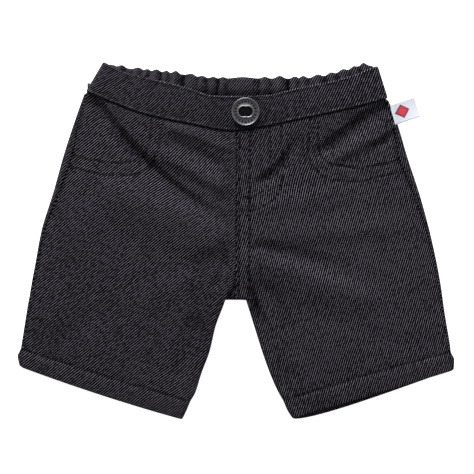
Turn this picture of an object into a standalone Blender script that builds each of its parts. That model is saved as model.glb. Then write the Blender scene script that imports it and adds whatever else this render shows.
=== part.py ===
"""Doll-size denim shorts with an elastic back waist, lying on their back.

The frame is +Z up, with the waist at +Y and the wearer's left at +X. The origin is the
middle of the footprint, on the surface that the shorts lie on. The tables and functions
work in millimetres, and the meshes are made in metres.
"""
import math
from collections import namedtuple

import bmesh
import bpy
import numpy as np

for old in list(bpy.data.objects):
    bpy.data.objects.remove(old, do_unlink=True)

METRE = 0.001

# Cloth
WALL = 1.0
HEM_WALL = 1.6
SEAM_GAP = 0.3
FRONT_BAND_WALL = 2.4
BACK_BAND_WALL = 2.8
BAND_HEIGHT = 6.3
BAND_CORNER = 0.9

# How finely the cloth is cut into faces: the distance between rows, the faces in each row,
# and how much closer together they lie at its ends (0 evenly, 1 most)
ROW_PITCH = 7.4
FRONT_COLUMNS = 18
FRONT_CROWDING = 0.7
BACK_COLUMNS = 12
BACK_CROWDING = 0.85
BAND_END_STATIONS = 4
FRONT_BAND_STATIONS = 36
BACK_BAND_STATIONS = 82

# How far inside its rounded edges the front reaches its full height, and how far from the
# waist seam and the hem stitch the soft folds fade out
CROWN_REACH = 14.0
WAIST_FADE = 10.0
HEM_FADE = 12.0

# One row for each section across a leg, from the waist seam to the hem's edge. The inner
# end lies on the centre seam or the inseam, the outer end on the outline of the side.
# bow is how far the section sags between its ends, and back_bow how much more the back does.
Outline = namedtuple("Outline", "place in_x in_y out_x out_y bow back_bow")
RIGHT_OUTLINE = (
    Outline("waist seam", 0.3, 55.2, -75.3, 74.5, 0.0, 0.0),
    Outline("yoke", 0.3, 42.0, -80.8, 59.2, 0.0, 0.0),
    Outline("pocket", 0.2, 27.0, -86.1, 43.1, 0.0, 0.0),
    Outline("hip", 0.1, 10.0, -91.7, 23.4, 0.0, 0.0),
    Outline("seat", 0.0, -6.0, -97.4, 5.1, 0.0, 0.0),
    Outline("fork", -0.3, -19.2, -100.5, -11.4, 0.0, 0.0),
    Outline("crotch roll", -0.4, -27.8, -102.2, -20.5, 0.0, 0.0),
    Outline("crotch", -0.65, -29.6, -102.7, -23.5, 0.0, 0.0),
    Outline("crotch corner", -5.1, -29.8, -103.2, -26.5, 0.0, 0.0),
    Outline("thigh", -10.1, -42.9, -104.5, -33.5, 0.0, 0.0),
    Outline("knee", -13.1, -55.4, -105.5, -40.0, 0.0, 0.0),
    Outline("low leg", -17.4, -67.1, -106.6, -47.0, 0.0, 0.0),
    Outline("above hem", -20.4, -76.5, -107.3, -51.5, 0.2, 0.0),
    Outline("hem stitch", -22.8, -80.6, -107.7, -54.0, 0.3, 0.0),
    Outline("hem flare", -24.5, -84.7, -109.3, -58.0, 0.6, 0.2),
    Outline("hem edge", -26.6, -89.0, -108.4, -62.4, 1.0, 0.5),
)
LEFT_OUTLINE = (
    Outline("waist seam", 0.3, 55.2, 75.7, 71.5, 0.0, 0.0),
    Outline("yoke", 0.3, 42.0, 80.9, 57.9, 0.0, 0.0),
    Outline("pocket", 0.2, 27.0, 85.8, 41.7, 0.0, 0.0),
    Outline("hip", 0.1, 10.0, 92.2, 22.3, 0.0, 0.0),
    Outline("seat", 0.0, -6.0, 97.0, 4.7, 0.0, 0.0),
    Outline("fork", -0.3, -19.2, 100.4, -10.5, 0.0, 0.0),
    Outline("crotch roll", -0.4, -27.8, 102.1, -19.5, 0.0, 0.0),
    Outline("crotch", -0.35, -29.7, 102.6, -22.5, 0.0, 0.0),
    Outline("crotch corner", 5.0, -29.9, 103.1, -26.0, 0.0, 0.0),
    Outline("thigh", 9.1, -43.2, 104.1, -33.5, 0.0, 0.0),
    Outline("knee", 13.1, -55.9, 105.2, -40.5, -0.3, 0.0),
    Outline("low leg", 17.3, -67.5, 106.5, -48.0, -0.6, 0.0),
    Outline("above hem", 21.4, -76.5, 107.3, -53.3, -0.8, 0.0),
    Outline("hem stitch", 23.5, -80.1, 107.5, -55.6, -0.9, 0.2),
    Outline("hem flare", 25.6, -84.9, 109.3, -59.8, -0.4, 1.4),
    Outline("hem edge", 27.9, -88.4, 109.0, -64.2, 0.2, 2.6),
)

# The same sections on both legs: the share of the waist seam's dip that the section keeps,
# how much higher the back reaches at the centre, how far the side seam lies inside the
# outline, the radius of the side fold, and the crown of the front above that fold.
Form = namedtuple("Form", "place dip back_rise seam fold crown")
FORM = (
    Form("waist seam", 1.0, 9.4, 0.9, 2.6, 0.4),
    Form("yoke", 0.7, 6.6, 2.4, 2.4, 0.7),
    Form("pocket", 0.4, 3.8, 4.4, 2.2, 1.0),
    Form("hip", 0.1, 1.4, 3.2, 2.0, 1.2),
    Form("seat", 0.0, 0.4, 1.8, 1.9, 1.3),
    Form("fork", 0.0, 0.0, 1.2, 1.9, 1.2),
    Form("crotch roll", 0.0, 0.0, 1.0, 1.9, 1.2),
    Form("crotch", 0.0, 0.0, 1.0, 1.9, 1.2),
    Form("crotch corner", 0.0, 0.0, 0.9, 1.9, 1.2),
    Form("thigh", 0.0, 0.0, 0.9, 1.9, 1.1),
    Form("knee", 0.0, 0.0, 0.9, 2.0, 1.0),
    Form("low leg", 0.0, 0.0, 0.9, 2.0, 0.9),
    Form("above hem", 0.0, 0.0, 0.9, 2.1, 0.7),
    Form("hem stitch", 0.0, 0.0, 0.9, 2.2, 0.3),
    Form("hem flare", 0.0, 0.0, 0.9, 2.3, 0.3),
    Form("hem edge", 0.0, 0.0, 0.9, 2.3, 0.1),
)
PLACES = [form.place for form in FORM]
CROTCH = PLACES.index("crotch")
HEM_STITCH = PLACES.index("hem stitch")

# The waistbands' edges as they lie: x and y along each one.
FRONT_LOW_EDGE = (
    (-74.6, 75.2), (-61.3, 69.6), (-48.3, 64.7), (-34.8, 61.3), (-19.0, 58.2),
    (-7.1, 55.9), (0.3, 55.5), (9.8, 56.9), (35.3, 62.1), (62.0, 68.0), (75.7, 71.9),
)
FRONT_HIGH_EDGE = (
    (-66.3, 89.3), (-57.0, 84.4), (-45.0, 81.2), (-24.5, 76.3), (-11.5, 72.2),
    (1.5, 71.9), (16.0, 72.5), (27.5, 75.2), (54.4, 81.0), (70.9, 87.2),
)
BACK_LOW_EDGE = (
    (-74.6, 75.2), (-61.3, 72.2), (-34.8, 67.6), (-7.1, 64.9), (9.8, 64.7),
    (35.3, 65.8), (62.0, 69.6), (75.7, 71.9),
)
BACK_HIGH_EDGE = (
    (-66.3, 89.3), (-57.0, 87.0), (-30.0, 84.0), (-9.5, 81.6), (1.5, 81.6),
    (28.0, 81.5), (40.0, 82.2), (54.4, 85.3), (64.6, 88.2), (70.9, 87.2),
)

# The largest soft folds of the front: where each starts, bends and ends, how high its crest
# is (below zero for a trough) and how far it spreads to each side.
Fold = namedtuple("Fold", "place x0 y0 x1 y1 x2 y2 height spread")
FOLDS = (
    Fold("right hip trough", -72, 71, -50, 40, -2, 16, -1.3, 9.0),
    Fold("right hip crest", -60, 30, -36, 18, -8, 3, 0.7, 11.0),
    Fold("left hip trough", 76, 67, 28, 54, 5, 22, -1.1, 8.5),
    Fold("left side trough", 81, 57, 74, 51, 62, 43, -0.8, 7.0),
    Fold("left crotch trough", 4, -1, 24, -3, 48, -4, -0.7, 8.0),
    Fold("left crotch crest", 6, -5, 34, -11, 70, -28, 0.8, 10.0),
    Fold("right crotch trough", -3, -6, -18, -9, -34, -20, -0.7, 8.0),
)

# The gathers of the back waistband: the middle of each crest along x, and its half width.
Gather = namedtuple("Gather", "x half")
GATHERS = tuple(
    Gather(x, half)
    for x, half in (
        (-62.0, 2.6), (-57.2, 2.8), (-49.2, 3.4), (-44.4, 2.4), (-39.6, 2.6), (-34.7, 2.4),
        (-30.0, 2.4), (-22.4, 3.4), (-15.8, 3.0), (-6.2, 3.0), (21.6, 3.4), (29.6, 3.4),
        (34.4, 2.2), (41.2, 3.2), (47.4, 3.0), (53.2, 2.8), (58.6, 2.6), (64.2, 2.8),
    )
)
GATHER_HEIGHT = 0.75
GATHER_EDGE = 0.7

# Side label
LABEL_LENGTH = 12.6
LABEL_WIDTH = 9.8
LABEL_WALL = 1.0
LABEL_X = 78.0
LABEL_Y = 62.6
LABEL_TURN = math.radians(18.5)
LABEL_HEIGHT = 5.4
LABEL_DROOP = 1.8
LABEL_STEPS = 6

# Button
BUTTON_X = 4.8
BUTTON_Y = 64.3
BUTTON_RADIUS = 7.0
BUTTON_HEIGHT = 2.2
BUTTON_FACE = 1.8
BUTTON_HUB = 1.6
BUTTON_RIM = 0.35
BUTTON_WALL = 1.0
HUB_RADIUS = 3.5
HUB_EDGE = 3.9
HOLE_RADIUS = 2.4
HOLE_OFFSET = 1.25
STUD_RADIUS = 5.4
STUD_TOP = 5.1
STUD_HEIGHT = 0.8


def eased(knots, values):
    """Smooth curve through the knots that never overshoots, for numbers or arrays."""
    knots = np.array(knots, float)
    values = np.array(values, float)
    steps = np.diff(knots)
    slopes = np.diff(values) / steps
    pairs = slopes[:-1] * slopes[1:]
    sums = np.where(pairs > 0, slopes[:-1] + slopes[1:], 1.0)
    inner = np.where(pairs > 0, 2 * pairs / sums, 0.0)
    tangents = np.concatenate((slopes[:1], inner, slopes[-1:]))

    def curve(x):
        x = np.clip(x, knots[0], knots[-1])
        i = np.clip(np.searchsorted(knots, x, side="right") - 1, 0, len(steps) - 1)
        t = (x - knots[i]) / steps[i]
        start = values[i] * (1 + 2 * t) * (1 - t) ** 2
        end = values[i + 1] * t * t * (3 - 2 * t)
        bend = steps[i] * (tangents[i] * t * (1 - t) ** 2 + tangents[i + 1] * t * t * (t - 1))
        return start + end + bend

    return curve


def smooth_step(x):
    x = np.clip(x, 0.0, 1.0)
    return x * x * (3 - 2 * x)


def round_over(distance, radius):
    """Height of a round edge at a distance inside the outline: 0 on it, 1 a radius inside."""
    q = np.clip(distance / radius, 0.0, 1.0)
    return np.sqrt(q * (2 - q))


def inset(run, radius):
    """Distance inside the outline of a point that lies this far round the fold from it."""
    quarter = radius * math.pi / 2
    angle = np.minimum(run, quarter) / radius
    return radius * (1 - np.cos(angle)) + np.maximum(run - quarter, 0.0)


def run_to(distance, radius):
    """How far round the fold a point lies that is this far inside the outline."""
    angle = math.acos(1 - min(distance / radius, 1.0))
    return radius * angle + max(distance - radius, 0.0)


def edge(points):
    return eased([x for x, _ in points], [y for _, y in points])


front_low = edge(FRONT_LOW_EDGE)
front_high = edge(FRONT_HIGH_EDGE)
back_low = edge(BACK_LOW_EDGE)
back_high = edge(BACK_HIGH_EDGE)


def path_through(fold, count=25):
    """Points along the curve that leaves a fold's start towards its bend and ends at its end."""
    t = np.linspace(0, 1, count)
    x = fold.x0 * (1 - t) ** 2 + 2 * fold.x1 * t * (1 - t) + fold.x2 * t * t
    y = fold.y0 * (1 - t) ** 2 + 2 * fold.y1 * t * (1 - t) + fold.y2 * t * t
    return np.stack((x, y), axis=1)


def nearest(x, y, path):
    """Distance from each point to a path, and how far along the path it is met, from 0 to 1."""
    best = np.full(np.shape(x), np.inf)
    along = np.zeros(np.shape(x))
    for i, ((ax, ay), (bx, by)) in enumerate(zip(path, path[1:])):
        square = (bx - ax) ** 2 + (by - ay) ** 2
        t = np.clip(((x - ax) * (bx - ax) + (y - ay) * (by - ay)) / square, 0, 1)
        distance = np.hypot(x - ax - t * (bx - ax), y - ay - t * (by - ay))
        closer = distance < best
        best = np.where(closer, distance, best)
        along = np.where(closer, (i + t) / (len(path) - 1), along)
    return best, along


def folds(x, y):
    """Height that the soft folds add to the front at each point."""
    total = np.zeros(np.shape(x))
    for fold in FOLDS:
        distance, along = nearest(x, y, path_through(fold))
        across = 0.5 + 0.5 * np.cos(math.pi * np.minimum(distance / fold.spread, 1.0))
        total += fold.height * across * smooth_step(along / 0.12) * smooth_step((1 - along) / 0.4)
    return total


def gathers(x):
    """Height of the gathers along the back waist, from 0 between them to 1 on a crest."""
    total = np.zeros(np.shape(x))
    for gather in GATHERS:
        total += 0.5 + 0.5 * np.cos(math.pi * np.minimum(np.abs(x - gather.x) / gather.half, 1.0))
    return np.minimum(total, 1.0)


class Leg:
    """One half of the shorts, described by its sections. v is the run down the leg."""

    def __init__(self, outline):
        ends = [(row.in_x, row.in_y, row.out_x, row.out_y) for row in outline]
        steps = [
            (math.dist(above[:2], below[:2]) + math.dist(above[2:], below[2:])) / 2
            for above, below in zip(ends, ends[1:])
        ]
        self.knots = np.concatenate(((0.0,), np.cumsum(steps)))
        for rows in (outline, FORM):
            for column in rows[0]._fields[1:]:
                setattr(self, column, eased(self.knots, [getattr(row, column) for row in rows]))
        self.crotch = self.knots[CROTCH]
        self.hem = self.knots[HEM_STITCH]
        self.side = math.copysign(1, outline[0].out_x)
        edge_run = np.linspace(self.crotch, self.knots[CROTCH + 1], 30)
        self.crotch_edge = np.stack((self.in_x(edge_run), self.in_y(edge_run)), axis=1)

    def stations(self):
        """Runs of the mesh rows, with a row on every section of the tables."""
        runs = []
        for start, end in zip(self.knots, self.knots[1:]):
            count = max(1, round((end - start) / ROW_PITCH))
            runs.extend(np.linspace(start, end, count, endpoint=False))
        return np.array(runs + [self.knots[-1]])

    def width(self, v):
        return math.hypot(self.out_x(v) - self.in_x(v), self.out_y(v) - self.in_y(v))

    def length(self, v):
        """Run from the outline of the side to the inner edge, round the folds."""
        bends = 1 if v < self.crotch else 2
        return self.width(v) + bends * self.fold(v) * (math.pi / 2 - 1)

    def share(self, v, run):
        """Share of the way from the inner end to the outline, at a run from the outline."""
        fold, width, length = self.fold(v), self.width(v), self.length(v)
        from_side = 1 - inset(run, fold) / width
        if v < self.crotch:
            return from_side
        return np.where(run < length / 2, from_side, inset(length - run, fold) / width)

    def along_section(self, v, share, is_back):
        """x and y on the straight line from the inner end of a section to its outer end."""
        in_y = self.in_y(v) + (self.back_rise(v) if is_back else 0.0)
        x = self.in_x(v) + (self.out_x(v) - self.in_x(v)) * share
        return x, in_y + (self.out_y(v) - in_y) * share

    def plan(self, v, share, is_back):
        """x and y on a section, with the dip of the waist seam and the bow of the hem."""
        x, y = self.along_section(v, share, is_back)
        top_x, top_y = self.along_section(0.0, share, is_back)
        seam = (back_low if is_back else front_low)(top_x) - SEAM_GAP
        y = y + self.dip(v) * (seam - top_y) - self.bow(v) * 4 * share * (1 - share)
        if is_back:
            y = y - self.back_bow(v) * np.sin(math.pi * np.sqrt(np.clip(share, 0.0, 1.0)))
        return x, y

    def facing(self, x, y, v, sign):
        """Unit vector away from the cloth, square to the line that x(v), y(v) draws."""
        before = max(v - 0.5, self.crotch if sign < 0 else 0.0)
        after = min(v + 0.5, self.knots[-1])
        along = np.array((x(after) - x(before), y(after) - y(before)))
        return sign * self.side * np.array((-along[1], along[0])) / math.hypot(*along)

    def face(self, v, runs, is_back):
        """Points on the outer face and its normals. Runs count from the outline: up over the
        front if they are above zero, and down under the back if they are below."""
        fold = self.fold(v)
        share = self.share(v, np.abs(runs))
        x, y = self.plan(v, share, is_back)
        from_side = self.width(v) * (1 - share)
        from_edge, _ = nearest(x, y, self.crotch_edge)
        side_level = round_over(from_side, fold)
        inner_level = round_over(from_edge, fold)
        if v >= self.crotch:
            turn = np.clip((self.length(v) - np.abs(runs)) / fold, 0.0, math.pi / 2)
            inner_level = np.minimum(inner_level, np.sin(turn))
            from_edge = np.minimum(from_edge, self.width(v) * share)
        level = side_level * inner_level
        apart = SEAM_GAP / 2 * (1 - inner_level)
        crown = self.crown(v) * smooth_step((np.minimum(from_side, from_edge) - fold) / CROWN_REACH)
        free = smooth_step(v / WAIST_FADE) * smooth_step((self.hem - v) / HEM_FADE)
        above = fold + (fold + crown) * level + apart + folds(x, y) * level * free
        gathered = GATHER_HEIGHT * gathers(x) * self.dip(v) * smooth_step((from_side - fold) / fold)
        below = fold * (1 - level) - apart + gathered
        points = np.stack((x, y, np.where(runs > 0, above, below)), axis=1)
        outwards = self.facing(self.out_x, self.out_y, v, 1)
        inwards = self.facing(self.in_x, self.in_y, max(v, self.crotch), -1)
        flat = (
            outwards * np.sqrt(1 - side_level**2)[:, None]
            + inwards * np.sqrt(1 - inner_level**2)[:, None]
        )
        normals = np.column_stack((flat, np.where(runs > 0, level, -level)))
        return points, normals / np.linalg.norm(normals, axis=1)[:, None]


def crowded(count, crowding):
    """Fractions from 0 to 1 that lie closer together towards both ends."""
    t = np.linspace(0, 1, count + 1)
    return t - crowding * np.sin(2 * math.pi * t) / (2 * math.pi)


def finish(name, colour, roughness, metallic=0.0):
    """A material with one colour and gloss."""
    material = bpy.data.materials.new(name)
    material.use_nodes = True
    shader = material.node_tree.nodes["Principled BSDF"]
    shader.inputs["Base Color"].default_value = (*colour, 1.0)
    shader.inputs["Roughness"].default_value = roughness
    shader.inputs["Metallic"].default_value = metallic
    return material


def add_object(name, bm, material, collection):
    """Make an object of a bmesh in millimetres."""
    bmesh.ops.scale(bm, vec=(METRE, METRE, METRE), verts=bm.verts)
    mesh = bpy.data.meshes.new(name)
    bm.to_mesh(mesh)
    bm.free()
    mesh.shade_smooth()
    if material:
        mesh.materials.append(material)
    obj = bpy.data.objects.new(name, mesh)
    collection.objects.link(obj)
    return obj


def mapped_grid(bm, points):
    """Add a sheet of faces over rows of points."""
    rows = len(points) - 1
    columns = len(points[0]) - 1
    made = bmesh.ops.create_grid(bm, x_segments=columns, y_segments=rows, size=1.0)
    for vert in made["verts"]:
        i = round((vert.co.x + 1) / 2 * columns)
        j = round((vert.co.y + 1) / 2 * rows)
        vert.co = points[j][i]


def panel(name, leg, is_back, material):
    """A front or back panel: an outer and an inner face joined round their edges."""
    outer_points = []
    inner_points = []
    for v in leg.stations():
        seam = run_to(leg.seam(v), leg.fold(v))
        inner_end = leg.length(v) - (SEAM_GAP / 2 if v < leg.crotch else 0.0)
        if is_back:
            start = seam - SEAM_GAP / 2
            under = -inner_end * crowded(BACK_COLUMNS, BACK_CROWDING)
            runs = np.concatenate(((start, start / 2), under))
        else:
            start = seam + SEAM_GAP / 2
            runs = start + (inner_end - start) * crowded(FRONT_COLUMNS, FRONT_CROWDING)
        wall = HEM_WALL if v >= leg.hem else WALL
        points, normals = leg.face(v, runs, is_back)
        outer_points.append(points)
        inner_points.append(points - normals * wall)
    bm = bmesh.new()
    mapped_grid(bm, outer_points)
    mapped_grid(bm, inner_points)
    bmesh.ops.bridge_loops(bm, edges=[e for e in bm.edges if e.is_boundary])
    bmesh.ops.recalc_face_normals(bm, faces=bm.faces)
    return add_object(name, bm, material, shorts)


def band_section(width, wall):
    """Points round a folded strip: distance from its low edge, and depth under its face."""
    turn = 0.3 * BAND_CORNER
    return (
        (0.0, BAND_CORNER), (turn, turn), (BAND_CORNER, 0.0), (width / 2, 0.0),
        (width - BAND_CORNER, 0.0), (width - turn, turn), (width, BAND_CORNER),
        (width, wall - BAND_CORNER), (width - turn, wall - turn), (width - BAND_CORNER, wall),
        (width / 2, wall), (BAND_CORNER, wall), (turn, wall - turn), (0.0, wall - BAND_CORNER),
    )


def waistband(name, low_edge, high_edge, wall, is_back, count, material):
    """A folded strip between two edges, whose ends turn down or up round the sides."""
    fold = BAND_HEIGHT / 2
    quarter = fold * math.pi / 2
    low_ends = np.array((low_edge[0], low_edge[-1]))
    high_ends = np.array((high_edge[0], high_edge[-1]))
    low, high = edge(low_edge), edge(high_edge)
    span = math.dist(*(low_ends + high_ends) / 2)
    length = span + 2 * (quarter - fold)
    turn = np.linspace(SEAM_GAP / 2, quarter, BAND_END_STATIONS)
    flat = np.linspace(quarter, length - quarter, count + 1)[1:-1]
    points = []
    for run in np.concatenate((turn, flat, length - turn[::-1])):
        near_end = min(run, length - run)
        angle = min(near_end, quarter) / fold
        share = inset(near_end, fold) / span
        if run > length / 2:
            share = 1 - share
        low_x = low_ends[0, 0] + (low_ends[1, 0] - low_ends[0, 0]) * share
        high_x = high_ends[0, 0] + (high_ends[1, 0] - high_ends[0, 0]) * share
        start = np.array((low_x, low(low_x)))
        across = np.array((high_x, high(high_x))) - start
        width = math.hypot(*across)
        across = across / width
        outwards = np.array((-across[1], across[0])) * (1 if run < length / 2 else -1)
        gather = gathers(high_x) * smooth_step((near_end - quarter) / quarter) if is_back else 0.0
        row = []
        for away, depth in band_section(width, wall):
            away += GATHER_EDGE * (gather - 0.5) * (away / width) ** 2 if is_back else 0.0
            x, y = start + across * away - outwards * depth * math.cos(angle)
            height = fold + (fold - depth) * math.sin(angle)
            z = BAND_HEIGHT - height + GATHER_HEIGHT * gather if is_back else height
            row.append((x, y, z))
        points.append(row + row[:1])
    bm = bmesh.new()
    mapped_grid(bm, points)
    bmesh.ops.remove_doubles(bm, verts=bm.verts, dist=0.001)
    ends = [e for e in bm.edges if e.is_boundary]
    bmesh.ops.holes_fill(bm, edges=ends, sides=0)
    bmesh.ops.recalc_face_normals(bm, faces=bm.faces)
    return add_object(name, bm, material, shorts)


def side_label(material):
    """A short woven ribbon, folded flat, that comes out of the left side seam."""
    along = np.array((math.cos(LABEL_TURN), math.sin(LABEL_TURN)))
    across = np.array((-along[1], along[0]))
    points = []
    for side in (-0.5, 0.5):
        row = []
        for i in range(LABEL_STEPS + 1):
            reach = i / LABEL_STEPS
            x, y = (LABEL_X, LABEL_Y) + along * LABEL_LENGTH * reach + across * LABEL_WIDTH * side
            row.append((x, y, LABEL_HEIGHT - LABEL_DROOP * reach**2))
        points.append(row)
    bm = bmesh.new()
    mapped_grid(bm, points)
    obj = add_object("side_label", bm, material, shorts)
    wall = obj.modifiers.new("two layers", "SOLIDIFY")
    wall.thickness = LABEL_WALL * METRE
    wall.offset = 1.0
    return obj


def button_ring(material):
    """A pressed cap with a raised rim and a figure-eight hole, hollow underneath."""
    radius = BUTTON_RADIUS
    profile = (
        (0.0, BUTTON_HUB), (HUB_RADIUS, BUTTON_HUB), (HUB_EDGE, BUTTON_FACE),
        (radius - 3 * BUTTON_RIM, BUTTON_FACE), (radius - 2 * BUTTON_RIM, BUTTON_HEIGHT),
        (radius - BUTTON_RIM, BUTTON_HEIGHT), (radius, BUTTON_HEIGHT - BUTTON_RIM),
        (radius, BUTTON_RIM), (radius - BUTTON_RIM, 0.0), (radius - BUTTON_WALL, 0.0),
        (radius - BUTTON_WALL, BUTTON_WALL), (0.0, BUTTON_WALL),
    )
    bm = bmesh.new()
    verts = [bm.verts.new((x, 0.0, z)) for x, z in profile]
    for start, end in zip(verts, verts[1:]):
        bm.edges.new((start, end))
    ring = add_object("button_ring", bm, material, shorts)
    place = (BUTTON_X * METRE, BUTTON_Y * METRE, (BAND_HEIGHT + SEAM_GAP) * METRE)
    ring.location = place
    turned = ring.modifiers.new("turned", "SCREW")
    turned.steps = 40
    turned.render_steps = 40
    turned.use_merge_vertices = True
    turned.merge_threshold = 0.0001 * METRE
    for side in (-1, 1):
        bm = bmesh.new()
        bmesh.ops.create_cone(
            bm, cap_ends=True, segments=28, radius1=HOLE_RADIUS, radius2=HOLE_RADIUS, depth=8.0
        )
        hole = add_object(f"hole_cutter_{side}", bm, None, cutters)
        hole.location = (place[0] + side * HOLE_OFFSET * METRE, place[1], place[2])
        hole.hide_render = True
        hole.display_type = "WIRE"
        cut = ring.modifiers.new("hole", "BOOLEAN")
        cut.operation = "DIFFERENCE"
        cut.object = hole
    return ring


def button_stud(material):
    """The stud's dark head, seen through the hole of the ring."""
    bm = bmesh.new()
    bmesh.ops.create_cone(
        bm, cap_ends=True, segments=32, radius1=STUD_RADIUS, radius2=STUD_TOP, depth=STUD_HEIGHT
    )
    stud = add_object("button_stud", bm, material, shorts)
    height = BAND_HEIGHT + SEAM_GAP + STUD_HEIGHT / 2
    stud.location = (BUTTON_X * METRE, BUTTON_Y * METRE, height * METRE)
    return stud


shorts = bpy.data.collections.new("denim_shorts")
cutters = bpy.data.collections.new("cutters")
for collection in (shorts, cutters):
    bpy.context.scene.collection.children.link(collection)

black_denim = finish("black denim", (0.022, 0.020, 0.027), 0.85)
inner_denim = finish("denim, inner face", (0.027, 0.025, 0.032), 0.9)
white_ribbon = finish("white woven ribbon", (0.82, 0.82, 0.80), 0.7)
nickel = finish("nickel-plated brass", (0.55, 0.55, 0.57), 0.3, 1.0)
dark_metal = finish("blackened metal", (0.03, 0.03, 0.035), 0.4, 0.8)

right_leg = Leg(RIGHT_OUTLINE)
left_leg = Leg(LEFT_OUTLINE)
panel("front_right", right_leg, False, black_denim)
panel("front_left", left_leg, False, black_denim)
panel("back_right", right_leg, True, black_denim)
panel("back_left", left_leg, True, black_denim)
waistband(
    "waistband_front", FRONT_LOW_EDGE, FRONT_HIGH_EDGE, FRONT_BAND_WALL, False,
    FRONT_BAND_STATIONS, black_denim,
)
waistband(
    "waistband_back", BACK_LOW_EDGE, BACK_HIGH_EDGE, BACK_BAND_WALL, True,
    BACK_BAND_STATIONS, inner_denim,
)
side_label(white_ribbon)
button_ring(nickel)
button_stud(dark_metal)
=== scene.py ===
"""Doll-size black denim shorts with an elastic back waist, laid flat.

Lengths in the tables are millimetres, and meshes are scaled to metres as they are made.
The waist points to +Y, and the wearer's left is at +X.
"""
import math
from collections import namedtuple

import bmesh
import bpy
import numpy as np
from mathutils import Matrix, Vector
from mathutils.bvhtree import BVHTree


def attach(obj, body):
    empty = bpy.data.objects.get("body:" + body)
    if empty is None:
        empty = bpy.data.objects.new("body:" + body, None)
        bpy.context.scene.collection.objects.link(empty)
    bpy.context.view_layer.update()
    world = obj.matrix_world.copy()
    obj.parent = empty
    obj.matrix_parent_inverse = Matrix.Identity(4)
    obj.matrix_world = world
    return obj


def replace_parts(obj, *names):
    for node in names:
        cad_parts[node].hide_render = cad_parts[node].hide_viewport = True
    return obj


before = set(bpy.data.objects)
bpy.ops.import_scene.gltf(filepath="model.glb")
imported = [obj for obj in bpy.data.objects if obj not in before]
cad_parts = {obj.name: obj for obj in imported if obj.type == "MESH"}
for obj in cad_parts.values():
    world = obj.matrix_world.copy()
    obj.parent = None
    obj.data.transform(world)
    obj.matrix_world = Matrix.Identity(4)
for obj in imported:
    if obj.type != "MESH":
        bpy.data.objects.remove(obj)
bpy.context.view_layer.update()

# ---------------------------------------------------------------------------
# Studio: a pale table of lit acrylic, a soft key light from beyond the waist and a bright
# room. The camera looks straight down on the shorts through a long lens.
# ---------------------------------------------------------------------------
MM = 0.001

VIEW_WIDTH = 237.0
CLOTH_LEVEL = 3.0
CAMERA_X, CAMERA_Y = 0.5, 1.7
LENS = 100.0
SENSOR = 36.0
ROOM_LIGHT = 0.45
TABLE_SIDE = 1600.0
TABLE_GLOW = 0.85

camera_data = bpy.data.cameras.new("studio_camera")
camera_data.lens = LENS
camera_data.sensor_width = SENSOR
camera = bpy.data.objects.new("studio_camera", camera_data)
camera_height = VIEW_WIDTH * LENS / SENSOR + CLOTH_LEVEL
camera.location = Vector((CAMERA_X, CAMERA_Y, camera_height)) * MM
bpy.context.scene.collection.objects.link(camera)
bpy.context.scene.camera = camera
bpy.context.scene.view_settings.view_transform = "Standard"

room = bpy.data.worlds.new("white_room")
room.use_nodes = True
backdrop = room.node_tree.nodes["Background"]
backdrop.inputs["Color"].default_value = (1.0, 1.0, 1.0, 1.0)
backdrop.inputs["Strength"].default_value = ROOM_LIGHT
bpy.context.scene.world = room

Lamp = namedtuple("Lamp", "name x y z size watts")
LAMPS = (
    Lamp("key_light", -208, 1120, 560, 672, 43),
    Lamp("side_light", 520, 260, 420, 160, 0.8),
)
for lamp in LAMPS:
    light = bpy.data.lights.new(lamp.name, "AREA")
    light.energy = lamp.watts
    light.size = lamp.size * MM
    holder = bpy.data.objects.new(lamp.name, light)
    holder.location = Vector((lamp.x, lamp.y, lamp.z)) * MM
    holder.rotation_euler = (-holder.location).to_track_quat("-Z", "Y").to_euler()
    bpy.context.scene.collection.objects.link(holder)


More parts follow.
